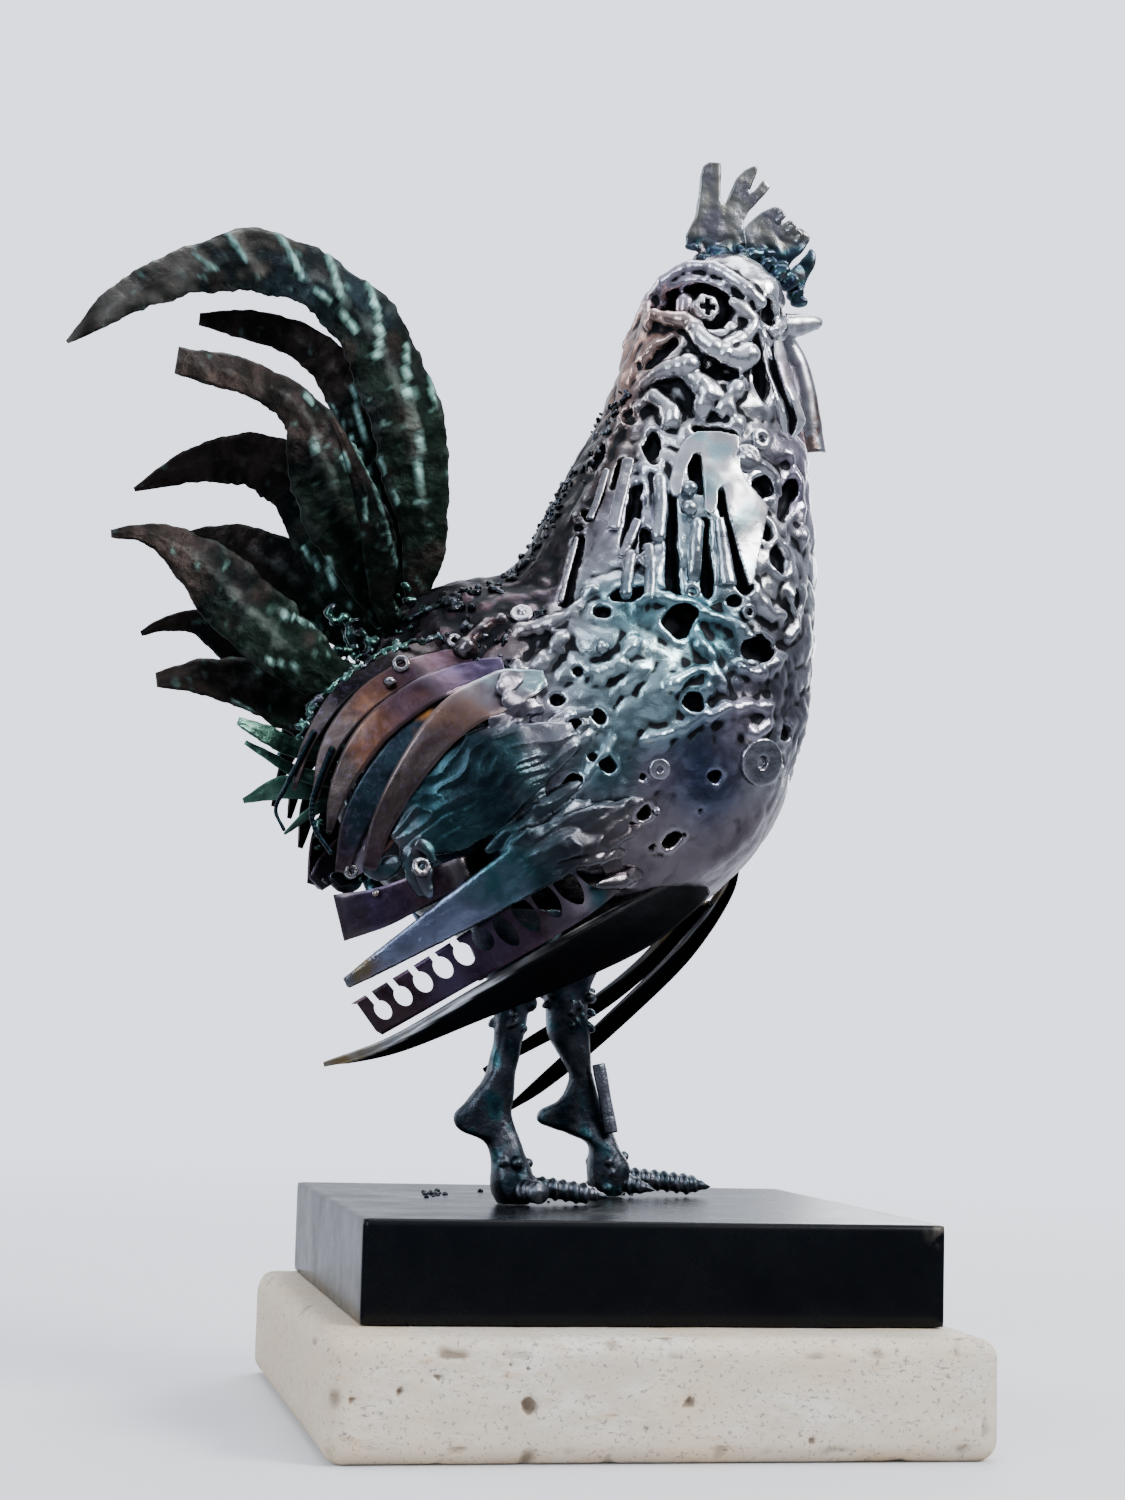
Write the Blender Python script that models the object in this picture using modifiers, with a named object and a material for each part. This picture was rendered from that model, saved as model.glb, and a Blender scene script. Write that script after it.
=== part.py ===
# Welded metal rooster that stands on a lacquered block and a stone slab.
# Metres, +Z up. The rooster faces +X, and its right side faces -Y.
# The origin is the centre of the slab's underside.

import math

import bmesh
import bpy
import numpy as np
from mathutils import Vector, noise
from mathutils.bvhtree import BVHTree

# Plinth
SLAB_LENGTH = 0.224
SLAB_WIDTH = 0.236
SLAB_HEIGHT = 0.040
SLAB_EDGE = 0.008
BLOCK_LENGTH = 0.200
BLOCK_WIDTH = 0.202
BLOCK_HEIGHT = 0.0345
BLOCK_EDGE = 0.0012
BLOCK_SHIFT = (0.0026, 0.0142)

# Figure: every traced shape below is drawn 402 units tall from the soles to the comb
FIGURE_HEIGHT = 0.402
DRAWN_HEIGHT = 402
FIGURE_X = 0.0
FIGURE_Y = 0.022

# Scrap stock and fits
FIT_GAP = 0.0003
WING_SHEET = 0.0012
TAIL_SHEET = 0.0011
COMB_SHEET = 0.0024
HACKLE_SHEET = 0.0020
LAYER_GAP = 0.0009
HOOK_DIAMETER = 0.0022
SHIN_ROD_DIAMETER = 0.0052
EYE_DIAMETER = 0.0120
EYE_HEIGHT = 0.0050
EYE_SLOT = 0.0018
TOE_DIAMETER = 0.0084
TOE_PITCH = 0.0039
TOE_THREAD_DEPTH = 0.0011
TOE_POINT = 0.0090
HOLE_PITCH = 0.0091
HOLE_LENGTH = 0.0120
HOLE_WIDTH = 0.0058
HOLE_COUNT = 11
OPEN_HOLES = 6
HOLE_NECK = 0.0022
HOLE_SIDES = 6

UNIT = FIGURE_HEIGHT / DRAWN_HEIGHT
BLOCK_BOTTOM = SLAB_HEIGHT + FIT_GAP
DECK = BLOCK_BOTTOM + BLOCK_HEIGHT
FIGURE_Z = DECK + FIT_GAP
LAYER_PITCH = 1.4 * WING_SHEET + LAYER_GAP

# Cross-sections of the body from tail root to crown: back x, z, breast x, z, half width
BODY_STATIONS = [
    (-82, 213, -99, 145, 20),
    (-67, 226, -85, 120, 38),
    (-50, 232, -58, 99, 50),
    (-39, 232, -27, 87, 56),
    (-33, 238, 4, 89, 58),
    (-28, 247, 34, 107, 58),
    (-22, 257, 58, 125, 57),
    (-17, 267, 75, 157, 54),
    (-11, 277, 83, 192, 50),
    (-5, 288, 84, 231, 44),
    (-1, 300, 83, 263, 38),
    (5, 313, 80, 286, 33),
    (10, 327, 74, 306, 29),
    (14, 339, 69, 325, 26),
    (18, 348, 70, 339, 25),
    (25, 356, 71, 349, 22),
    (35, 362, 67, 358, 15),
    (48, 365, 59, 362, 5),
]
BODY_RINGS = 40
BODY_SIDES = 32

# Hollows and lumps on both sides of the body: x, z, radius, height
BODY_SPOTS = [
    (30, 338, 11, -6.0),
    (20, 342, 7, -4.0),
    (52, 300, 8, 3.0),
    (33, 306, 9, 3.0),
    (48, 283, 9, 2.5),
    (66, 270, 7, -3.0),
    (8, 296, 7, -3.0),
    (25, 226, 9, -4.0),
    (30, 203, 7, -3.0),
    (55, 206, 7, -3.0),
    (-10, 205, 14, 3.5),
    (5, 190, 13, 3.0),
    (62, 176, 11, 2.0),
    (52, 152, 12, 2.0),
]
# Welded beads: x, z at both ends, radius, height
BODY_BEADS = [
    (16, 331, 47, 317, 6, 5.0),
    (22, 349, 58, 347, 6, 3.0),
    (58, 345, 62, 322, 5, 3.0),
    (14, 318, 40, 300, 5, 3.0),
    (-14, 262, 5, 300, 5, 2.0),
]


def clear_scene():
    for item in list(bpy.data.objects):
        bpy.data.objects.remove(item, do_unlink=True)


def new_collection(name):
    collection = bpy.data.collections.new(name)
    bpy.context.scene.collection.children.link(collection)
    return collection


clear_scene()
PARTS = new_collection("metal_rooster_sculpture")
CUTTERS = new_collection("cutters")


def finish(name, colour, metallic, roughness):
    material = bpy.data.materials.new(name)
    material.use_nodes = True
    shader = material.node_tree.nodes["Principled BSDF"]
    shader.inputs["Base Color"].default_value = (*colour, 1.0)
    shader.inputs["Metallic"].default_value = metallic
    shader.inputs["Roughness"].default_value = roughness
    return material


def add(name, mesh, material=None):
    """A new object in the parts, or in the cutters when it has no material."""
    item = bpy.data.objects.new(name, mesh)
    if material is None:
        CUTTERS.objects.link(item)
        item.hide_render = True
        item.display_type = "WIRE"
    else:
        PARTS.objects.link(item)
        mesh.materials.append(material)
    return item


def cut(item, cutter):
    boolean = item.modifiers.new("cut", "BOOLEAN")
    boolean.operation = "DIFFERENCE"
    boolean.solver = "EXACT"
    boolean.object = cutter


def figure_point(x, y, z):
    """A place on the figure, from units right of its middle, away from its centre plane and up."""
    return Vector((FIGURE_X + x * UNIT, FIGURE_Y + y * UNIT, FIGURE_Z + z * UNIT))


def smooth_rows(rows, count):
    """Rows read at even steps from a Catmull-Rom curve through the given ones."""
    rows = np.array(rows, float)
    padded = np.vstack([2 * rows[0] - rows[1], rows, 2 * rows[-1] - rows[-2]])
    result = []
    for step in np.linspace(0, len(rows) - 1, count):
        i = min(int(step), len(rows) - 2)
        t = step - i
        a, b, c, d = padded[i : i + 4]
        bend = (2 * a - 5 * b + 4 * c - d) * t**2 + (3 * b - a - 3 * c + d) * t**3
        result.append(b + 0.5 * ((c - a) * t + bend))
    return np.array(result)


def rounded_box(name, size, centre, edge, segments, material):
    mesh = bpy.data.meshes.new(name)
    bm = bmesh.new()
    bmesh.ops.create_cube(bm, size=1)
    bmesh.ops.scale(bm, vec=size, verts=bm.verts)
    bm.to_mesh(mesh)
    bm.free()
    box = add(name, mesh, material)
    box.location = centre
    bevel = box.modifiers.new("edge", "BEVEL")
    bevel.width = edge
    bevel.segments = segments
    bevel.limit_method = "NONE"
    return box


def power(value, exponent):
    return math.copysign(abs(value) ** exponent, value)


def lofted_mesh(name, stations, rings, sides, centre_y=0.0, squareness=2.0, relief=None, grow=0.0):
    """A closed skin through upright cross-sections: back x, z, front x, z and half width, in units."""
    bm = bmesh.new()
    skin = []
    for back_x, back_z, front_x, front_z, half in smooth_rows(stations, rings):
        middle = ((back_x + front_x) / 2, (back_z + front_z) / 2)
        arm = ((front_x - back_x) / 2, (front_z - back_z) / 2)
        ring = []
        for k in range(sides):
            angle = 2 * math.pi * k / sides
            along = power(math.cos(angle), 2 / squareness)
            across = power(math.sin(angle), 2 / squareness)
            x = middle[0] + arm[0] * along
            z = middle[1] + arm[1] * along
            ring.append(bm.verts.new(figure_point(x, centre_y + max(half, 0.5) * across, z)))
        skin.append(ring)
    for lower, upper in zip(skin, skin[1:]):
        for k in range(sides):
            m = (k + 1) % sides
            bm.faces.new((lower[k], lower[m], upper[m]))
            bm.faces.new((lower[k], upper[m], upper[k]))
    for ring in (skin[0], skin[-1]):
        tip = bm.verts.new(sum((v.co for v in ring), Vector()) / sides)
        for k in range(sides):
            bm.faces.new((ring[k], ring[(k + 1) % sides], tip))
    bmesh.ops.recalc_face_normals(bm, faces=bm.faces)
    bm.normal_update()
    push = [grow + (relief(v.co) if relief else 0.0) for v in bm.verts]
    for vertex, distance in zip(list(bm.verts), push):
        vertex.co += vertex.normal * distance
    mesh = bpy.data.meshes.new(name)
    bm.to_mesh(mesh)
    bm.free()
    mesh.shade_smooth()
    return mesh


def body_relief(point):
    """How far molten lumps, beads and hollows stand out of the body here, in metres."""
    x = (point.x - FIGURE_X) / UNIT
    y = (point.y - FIGURE_Y) / UNIT
    z = (point.z - FIGURE_Z) / UNIT
    side = min(abs(y) / 12, 1.0)
    height = 2.4 * noise.noise(Vector((x, y, z)) / 16) + 0.8 * noise.noise(Vector((x, y, z)) / 7)
    for spot_x, spot_z, radius, rise in BODY_SPOTS:
        away = math.hypot(x - spot_x, z - spot_z) / radius
        height += side * rise * math.exp(-(away**2))
    for x1, z1, x2, z2, radius, rise in BODY_BEADS:
        length = math.hypot(x2 - x1, z2 - z1)
        t = ((x - x1) * (x2 - x1) + (z - z1) * (z2 - z1)) / length**2
        t = min(max(t, 0.0), 1.0)
        away = math.hypot(x - x1 - t * (x2 - x1), z - z1 - t * (z2 - z1)) / radius
        height += side * rise * math.exp(-(away**2))
    return height * UNIT


def wing_surface(x, z):
    """How far the wings' innermost sheet lies from the centre plane, in units."""
    behind = max(-20 - x, 0.0)
    above = max(z - 150, 0.0)
    below = max(155 - z, 0.0)
    return 58.5 - 0.0022 * behind**2 - 0.0055 * above**2 - 0.0012 * below**2


def flat_surface(x, z):
    return 0.0


def sheet(name, rows, count, thickness, material, side=-1, surface=flat_surface, crown=0.0, tilt=0.0):
    """A leaf of sheet metal along a centreline, in units: x, z, width and distance out of the surface.

    The middle stands out by the crown, and the edges are turned by the tilt, as shares of the width.
    """
    rows = smooth_rows(rows, count)
    heading = np.gradient(rows[:, :2], axis=0)
    heading /= np.linalg.norm(heading, axis=1)[:, None]
    bm = bmesh.new()
    lines = []
    for i, (x, z, width, out) in enumerate(rows):
        normal = (-heading[i][1], heading[i][0])
        line = []
        for across in (-0.5, 0.0, 0.5):
            px = x + normal[0] * across * max(width, 1.2)
            pz = z + normal[1] * across * max(width, 1.2)
            # The root stays flat so that neighbours fit side by side
            opened = min(1.0, 3 * i / count)
            bulge = opened * width * (crown * (across == 0.0) + tilt * across)
            line.append(bm.verts.new(figure_point(px, side * (surface(px, pz) + out + bulge), pz)))
        lines.append(line)
    for first, second in zip(lines, lines[1:]):
        for k in range(2):
            bm.faces.new((first[k], first[k + 1], second[k + 1], second[k]))
    mesh = bpy.data.meshes.new(name)
    bm.to_mesh(mesh)
    bm.free()
    leaf = add(name, mesh, material)
    solidify = leaf.modifiers.new("thickness", "SOLIDIFY")
    solidify.thickness = thickness
    solidify.offset = 0.0
    return leaf


def plate(name, outline, y, thickness, material):
    """A flat cut plate from an outline in units, at a distance from the centre plane."""
    curve = bpy.data.curves.new(name, "CURVE")
    curve.dimensions = "2D"
    curve.fill_mode = "BOTH"
    curve.extrude = thickness / 2
    spline = curve.splines.new("POLY")
    spline.points.add(len(outline) - 1)
    for point, (x, z) in zip(spline.points, outline):
        point.co = (x * UNIT, z * UNIT, 0.0, 1.0)
    spline.use_cyclic_u = True
    drawn = bpy.data.objects.new(name + "_outline", curve)
    PARTS.objects.link(drawn)
    bpy.context.view_layer.update()
    mesh = bpy.data.meshes.new_from_object(drawn.evaluated_get(bpy.context.evaluated_depsgraph_get()))
    bpy.data.objects.remove(drawn, do_unlink=True)
    bm = bmesh.new()
    bm.from_mesh(mesh)
    bmesh.ops.remove_doubles(bm, verts=bm.verts, dist=1e-6)
    for vertex in bm.verts:
        x, z, off = vertex.co
        vertex.co = (FIGURE_X + x, FIGURE_Y + y * UNIT + off, FIGURE_Z + z)
    bmesh.ops.recalc_face_normals(bm, faces=bm.faces)
    bm.to_mesh(mesh)
    bm.free()
    mesh.name = name
    return add(name, mesh, material)


def rod(name, points, diameter, material, sides_level=2):
    """A round bar through world points."""
    curve = bpy.data.curves.new(name, "CURVE")
    curve.dimensions = "3D"
    curve.bevel_depth = diameter / 2
    curve.bevel_resolution = sides_level
    curve.use_fill_caps = True
    spline = curve.splines.new("POLY")
    spline.points.add(len(points) - 1)
    for point, place in zip(spline.points, points):
        point.co = (*place, 1.0)
    return add(name, curve, material)


def turned(name, profile, sides, material, place, direction):
    """A round piece turned from radius and height pairs, set at a place with its axis along a direction."""
    bm = bmesh.new()
    rings = []
    for radius, height in profile:
        ring = []
        for k in range(sides):
            angle = 2 * math.pi * k / sides
            ring.append(bm.verts.new((radius * math.cos(angle), radius * math.sin(angle), height)))
        rings.append(ring)
    for lower, upper in zip(rings, rings[1:]):
        for k in range(sides):
            m = (k + 1) % sides
            bm.faces.new((lower[k], lower[m], upper[m], upper[k]))
    bm.faces.new(rings[0])
    bm.faces.new(rings[-1])
    bmesh.ops.recalc_face_normals(bm, faces=bm.faces)
    mesh = bpy.data.meshes.new(name)
    bm.to_mesh(mesh)
    bm.free()
    item = add(name, mesh, material)
    item.location = place
    item.rotation_mode = "QUATERNION"
    item.rotation_quaternion = Vector(direction).to_track_quat("Z", "Y")
    return item


def make_plinth():
    stone = finish("travertine", (0.72, 0.64, 0.52), 0.0, 0.75)
    lacquer = finish("black_lacquer", (0.012, 0.012, 0.015), 0.0, 0.35)
    rounded_box(
        "travertine_slab",
        (SLAB_LENGTH, SLAB_WIDTH, SLAB_HEIGHT),
        (0.0, 0.0, SLAB_HEIGHT / 2),
        SLAB_EDGE,
        3,
        stone,
    )
    rounded_box(
        "black_block",
        (BLOCK_LENGTH, BLOCK_WIDTH, BLOCK_HEIGHT),
        (BLOCK_SHIFT[0], BLOCK_SHIFT[1], BLOCK_BOTTOM + BLOCK_HEIGHT / 2),
        BLOCK_EDGE,
        2,
        lacquer,
    )


def make_body():
    """The fused torso, neck and head, and the same shape grown by the fit as a cutter."""
    steel = finish("molten_steel", (0.30, 0.33, 0.36), 1.0, 0.35)
    shape = (BODY_STATIONS, BODY_RINGS, BODY_SIDES)
    body = lofted_mesh("body", *shape, relief=body_relief)
    add("body", body, steel)
    return body, add("body_room", lofted_mesh("body_room", *shape, relief=body_relief, grow=FIT_GAP))


def make_comb(body_room):
    plain = finish("comb_steel", (0.34, 0.35, 0.36), 1.0, 0.40)
    fork = [(35, 355), (31, 372), (36, 384), (37, 401), (44, 402), (43, 385), (46, 385), (51, 400)]
    fork += [(58, 402), (55, 390), (61, 396), (65, 394), (53, 377), (52, 355)]
    notched = [(55, 352), (53, 375), (59, 384), (66, 386), (67, 383), (70, 386), (72, 382)]
    notched += [(75, 384), (76, 380), (80, 381), (82, 375), (75, 364), (70, 352)]
    pointed = [(66, 348), (75, 362), (83, 371), (83, 366), (78, 350), (70, 346)]
    cut(plate("comb_fork", fork, 1, COMB_SHEET, plain), body_room)
    cut(plate("comb_notched", notched, 1 - 1.2 * COMB_SHEET / UNIT, COMB_SHEET, plain), body_room)
    cut(plate("comb_pointed", pointed, 1 + 1.2 * COMB_SHEET / UNIT, COMB_SHEET, plain), body_room)


def make_face(body_room):
    steel = finish("beak_steel", (0.36, 0.37, 0.40), 1.0, 0.30)
    upper = [(58, 348, 58, 337, 6), (69, 346, 69, 337, 5), (77, 344, 77, 338, 3.5), (87, 342, 87, 341, 0.8)]
    lower = [(60, 335, 60, 329, 4), (70, 336, 70, 331, 3.5), (79, 336.5, 79, 335, 0.8)]
    for name, stations in (("beak_upper", upper), ("beak_lower", lower)):
        mesh = lofted_mesh(name, stations, 6, 10)
        cut(add(name, mesh, steel), body_room)
    near = [(60, 341, 5, 14), (61, 332, 6, 20), (61, 320, 9, 24), (65, 306, 8, 25), (71, 292, 5, 22)]
    far = [(66, 342, 4, 10), (77, 334, 7, 10), (83, 321, 9, 10), (87, 303, 8, 10), (88, 291, 5, 10)]
    for name, rows, side in (("wattle_right", near, -1), ("wattle_left", far, 1)):
        wattle = sheet(name, rows, 8, WING_SHEET, steel, side=side, crown=0.35)
        cut(wattle, body_room)


def make_eye(name, side, body_room):
    """A round screw head with a cross recess, half sunk into the hollow of the head."""
    steel = finish("screw_steel", (0.45, 0.46, 0.48), 1.0, 0.30)
    radius = EYE_DIAMETER / 2
    profile = [
        (0.80 * radius, -0.9 * EYE_HEIGHT),
        (radius, -0.2 * EYE_HEIGHT),
        (0.95 * radius, 0.4 * EYE_HEIGHT),
        (0.70 * radius, 0.8 * EYE_HEIGHT),
        (0.30 * radius, EYE_HEIGHT),
    ]
    place = figure_point(33, side * 24.5, 338)
    eye = turned(name, profile, 10, steel, place, (0, side, 0))
    cut(eye, body_room)
    reach = 0.62 * EYE_DIAMETER
    for k, size in enumerate(((reach, EYE_SLOT), (EYE_SLOT, reach))):
        mesh = bpy.data.meshes.new(name + "_slot")
        bm = bmesh.new()
        bmesh.ops.create_cube(bm, size=1)
        bmesh.ops.scale(bm, vec=(size[0], 0.9 * EYE_HEIGHT, size[1]), verts=bm.verts)
        bm.to_mesh(mesh)
        bm.free()
        slot = add(f"{name}_slot_{k}", mesh)
        slot.location = place + Vector((0, side * EYE_HEIGHT, 0))
        cut(eye, slot)


def make_hackle(name, side, body):
    """A hand-shaped scrap plate, bent to lie against the neck."""
    steel = finish("hackle_steel", (0.50, 0.52, 0.54), 1.0, 0.30)
    outline = [(16, 260), (16, 269), (21, 283), (26, 287), (43, 286), (56, 270), (56, 261), (50, 256)]
    outline += [(53, 249), (49, 241), (37, 265), (35, 254), (30.5, 254), (29, 278), (25, 276), (21, 259)]
    hackle = plate(name, outline, 0.0, HACKLE_SHEET, steel)
    bm = bmesh.new()
    bm.from_mesh(hackle.data)
    for x in (25, 36, 47):
        parts = bm.verts[:] + bm.edges[:] + bm.faces[:]
        bmesh.ops.bisect_plane(bm, geom=parts, plane_co=figure_point(x, 0, 0), plane_no=(1, 0, 0))
    bmesh.ops.triangulate(bm, faces=bm.faces)
    tree = BVHTree.FromPolygons([v.co for v in body.vertices], [f.vertices for f in body.polygons])
    for vertex in bm.verts:
        off = vertex.co.y - FIGURE_Y
        start = Vector((vertex.co.x, FIGURE_Y + side * FIGURE_HEIGHT, vertex.co.z))
        surface = tree.ray_cast(start, Vector((0, -side, 0)))[0]
        vertex.co.y = surface.y + side * (HACKLE_SHEET / 2 + FIT_GAP) + off
    bm.to_mesh(hackle.data)
    bm.free()
    return hackle


def wing_strips():
    """The crescent strips of a wing: rows along the strip, then the layer that it lies in."""
    return [
        ([
            (-56, 203, 5, -12), (-66, 201, 6, -2), (-82, 195, 6.5, 0), (-101, 182, 6.5, 0),
            (-113, 163, 4.5, 0), (-118, 145, 1.5, 0),
        ], 0),
        ([
            (-50, 197, 7, -11), (-63, 195, 7.5, -2), (-81, 188, 8.6, 0), (-97, 175, 8.6, 0),
            (-107, 159, 6.4, 0), (-111, 141, 1.8, 0),
        ], 1),
        ([
            (-45, 192, 8, -11), (-58, 189, 8.7, -2), (-76, 180, 10.8, 0), (-92, 166, 10.7, 0),
            (-102, 148, 7.8, 0), (-106, 130, 2.1, 0),
        ], 2),
        ([
            (-43, 186, 7, -11), (-55, 182, 7.2, -3), (-73, 171, 10.7, 0), (-86, 154, 12.1, 0),
            (-96, 136, 10.6, 0), (-101, 116, 4.2, 0),
        ], 1),
        ([
            (-35, 187, 14, -13), (-48, 182, 14.4, -3), (-64, 172, 13.6, 0), (-78, 154, 10.7, 0),
            (-88, 134, 7.8, 0), (-92, 117, 4.9, 0),
        ], 3),
    ]


def make_wing(label, side, body_room):
    """The strips, shell, long pointed blade and small plates that both wings have."""
    names = ("purple_sheet", "red_sheet", "rust_sheet", "teal_sheet", "grey_sheet")
    colours = [
        (0.10, 0.05, 0.07), (0.14, 0.06, 0.06), (0.20, 0.08, 0.06), (0.05, 0.08, 0.09),
        (0.16, 0.13, 0.13),
    ]
    for k, (rows, layer) in enumerate(wing_strips()):
        tint = finish(names[k], colours[k], 1.0, 0.40)
        raised = [(x, z, width, out + layer * LAYER_PITCH / UNIT) for x, z, width, out in rows]
        strip = sheet(f"{label}_strip_{k + 1}", raised, 8, WING_SHEET, tint, side, wing_surface)
        cut(strip, body_room)
    teal = finish("teal_blade", (0.06, 0.12, 0.16), 1.0, 0.35)
    dark = finish("dark_plate", (0.06, 0.05, 0.06), 1.0, 0.40)
    shell = [(-83, 127, 12, 0), (-69, 138, 32, 0), (-51, 152, 34, 0), (-34, 161, 22, -1), (-20, 168, 9, -8)]
    pointed = [
        (-98, 77, 4.5, 0), (-78, 91, 10, 0), (-58, 105, 15, 0), (-33, 122, 19, 0),
        (-8, 137, 22, -1), (6, 145, 18, -12),
    ]
    lobe = [(-66, 148, 8, -14), (-84, 134, 10.7, 0), (-93, 124, 12.1, 0), (-100, 116, 7.1, 0)]
    square = [(-48, 122, 11, -18), (-72, 111, 12, 0), (-87, 104, 14.2, 0), (-101, 100, 16.9, 0)]
    for name, rows, layer, tint, crown, count in (
        ("shell", shell, 2, teal, 0.05, 9),
        ("pointed_blade", pointed, 3, teal, 0.02, 9),
        ("lobe", lobe, 0, dark, 0.0, 6),
        ("square_plate", square, 1, dark, 0.0, 6),
    ):
        raised = [(x, z, width, out + layer * LAYER_PITCH / UNIT) for x, z, width, out in rows]
        piece = sheet(f"{label}_{name}", raised, count, WING_SHEET, tint, side, wing_surface, crown)
        cut(piece, body_room)


def hole_cutter(name, side):
    """The row of slanted oval holes; the hindmost ones open to the blade's upper edge through a neck."""
    bm = bmesh.new()
    first = np.array((-86.0, 69.0))
    along = np.array((0.827, 0.562))
    across = np.array((-0.50, 0.866))
    for k in range(HOLE_COUNT):
        middle = first + along * k * HOLE_PITCH / UNIT
        reach = HOLE_LENGTH / 2 / UNIT * (0.8 + 0.06 * min(k, 6))
        outline = []
        for step in range(HOLE_SIDES):
            angle = 2 * math.pi * (step + 0.5) / HOLE_SIDES
            spot = middle + across * reach * math.cos(angle)
            outline.append(spot + along * HOLE_WIDTH / 2 / UNIT * math.sin(angle))
        if k < OPEN_HOLES:
            half_neck = HOLE_NECK / 2 / UNIT
            up = across * 3.2 * reach
            outline.insert(0, middle + up + along * half_neck)
            outline.append(middle + up - along * half_neck)
        ends = []
        for depth in (40, 75):
            ends.append([bm.verts.new(figure_point(x, side * depth, z)) for x, z in outline])
        count = len(outline)
        for i in range(count):
            j = (i + 1) % count
            bm.faces.new((ends[0][i], ends[0][j], ends[1][j], ends[1][i]))
        bm.faces.new(ends[0])
        bm.faces.new(ends[1])
    bmesh.ops.recalc_face_normals(bm, faces=bm.faces)
    mesh = bpy.data.meshes.new(name)
    bm.to_mesh(mesh)
    bm.free()
    return add(name, mesh)


def make_right_blades(body_room):
    violet = finish("violet_blade", (0.10, 0.07, 0.12), 1.0, 0.35)
    black = finish("black_blade", (0.02, 0.02, 0.025), 1.0, 0.35)
    layer = LAYER_PITCH / UNIT
    holed = [
        (-92, 63, 15, layer), (-60, 84, 16.5, layer), (-30, 104, 19, layer),
        (-4, 121, 21, layer), (8, 129, 20, -10),
    ]
    low = [
        (-103, 48, 1.8, 0), (-79, 56, 6.4, 0), (-51, 71, 11.5, 0), (-22, 86, 16.4, -4),
        (7, 101, 18.5, -13), (28, 113, 14, -26), (38, 119, 10, -36),
    ]
    blade = sheet("right_holed_blade", holed, 8, WING_SHEET, violet, -1, wing_surface)
    cut(blade, hole_cutter("holes", -1))
    cut(blade, body_room)
    cut(sheet("right_low_blade", low, 12, 1.5 * WING_SHEET, black, -1, wing_surface, 0.03), body_room)


def make_left_blades(body_room):
    black = finish("black_blade_left", (0.02, 0.02, 0.025), 1.0, 0.35)
    upper = [
        (50, 114, 6, 20), (46, 109, 8, 30), (31, 89, 7.5, 42), (12, 72, 7, 50), (-12, 57, 5, 53),
        (-30, 46, 2, 54),
    ]
    lower = [
        (58, 128, 6, 12), (57, 118, 7, 20), (51, 103, 8, 34), (40, 87, 8.3, 44),
        (12.8, 59, 7.5, 52), (-7, 41, 5.5, 55), (-20, 31, 2, 55),
    ]
    cut(sheet("left_blade_upper", upper, 9, 1.5 * WING_SHEET, black, 1, crown=0.05), body_room)
    cut(sheet("left_blade_lower", lower, 11, 1.5 * WING_SHEET, black, 1, crown=0.05), body_room)


# Tail feathers: offset from the centre plane at the root, stations, then x, z and width along each
TAIL = {
    "tail_sickle": (-3.0, 15, [
        (-64, 205, 8), (-70, 223, 10), (-69, 248, 19), (-74, 278, 28.5), (-82, 303, 30.4),
        (-94, 325, 28.4), (-112, 340, 24.5), (-135, 346, 26.2), (-157, 341, 20.4),
        (-175, 333, 16.5), (-189, 323, 11.7), (-204, 309, 1.4),
    ]),
    "tail_feather_2": (6.0, 9, [
        (-70, 205, 8), (-78, 223, 9.6), (-85, 261, 17.2), (-92, 288, 17.2), (-101, 308, 17.2),
        (-117, 321, 13.3), (-136, 326, 11.3), (-155, 327, 4.5),
    ]),
    "tail_feather_3": (-10.5, 9, [
        (-74, 202, 11), (-87, 219, 13), (-100, 245, 27.9), (-108, 267, 27.9), (-118, 287, 18.5),
        (-133, 296, 14), (-150, 299, 13.9), (-165, 301, 11.7),
    ]),
    "tail_feather_4": (1.6, 8, [
        (-78, 202, 12), (-95, 218, 15.1), (-107, 244, 20.7), (-119, 266, 22.6),
        (-138, 272, 18.7), (-157, 268, 11.9), (-177, 258, 1.5),
    ]),
    "tail_feather_5": (10.5, 7, [
        (-76, 200, 12), (-94, 211, 15.2), (-113, 229, 22.7), (-131, 240, 18.8),
        (-146, 244, 11.2), (-156, 246, 2.2),
    ]),
    "tail_feather_6": (-15.2, 8, [
        (-84, 182, 15), (-104, 188, 18.4), (-122, 200, 27.5), (-141, 216, 27.3),
        (-156, 228, 19.9), (-171, 235, 9), (-186, 234, 2.9),
    ]),
    "tail_feather_7": (4.0, 7, [
        (-86, 180, 12), (-112, 187, 15), (-134, 201, 16.7), (-151, 210, 9.2), (-163, 209, 5.2),
        (-172, 205, 1.8),
    ]),
    "tail_feather_8": (-6.5, 6, [
        (-84, 174, 18), (-106, 176, 22.3), (-128, 184, 22.1), (-149, 187, 13.9),
        (-167, 185, 5.4),
    ]),
    "tail_feather_9": (-12.6, 5, [(-90, 162, 7), (-114, 162, 7.3), (-127, 166, 7.3), (-138, 170, 2.9)]),
    "tail_feather_10": (-0.8, 5, [(-90, 152, 7), (-110, 154, 5.2), (-123, 160, 3.7), (-133, 165, 1.5)]),
    "tail_feather_11": (8.2, 5, [(-88, 152, 9), (-107, 151, 9), (-119, 150, 8.2), (-131, 145, 2.2)]),
    "tail_feather_12": (12.8, 5, [(-88, 152, 6), (-104, 143, 4), (-114, 134, 1.2)]),
    "tail_leaf": (-12.8, 7, [(-78, 205, 6), (-86, 219, 9), (-88, 240, 14), (-95, 258, 9), (-108, 283, 2)]),
}
TAIL_SPLAY = 1.3
TAIL_TILT = 0.35


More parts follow.
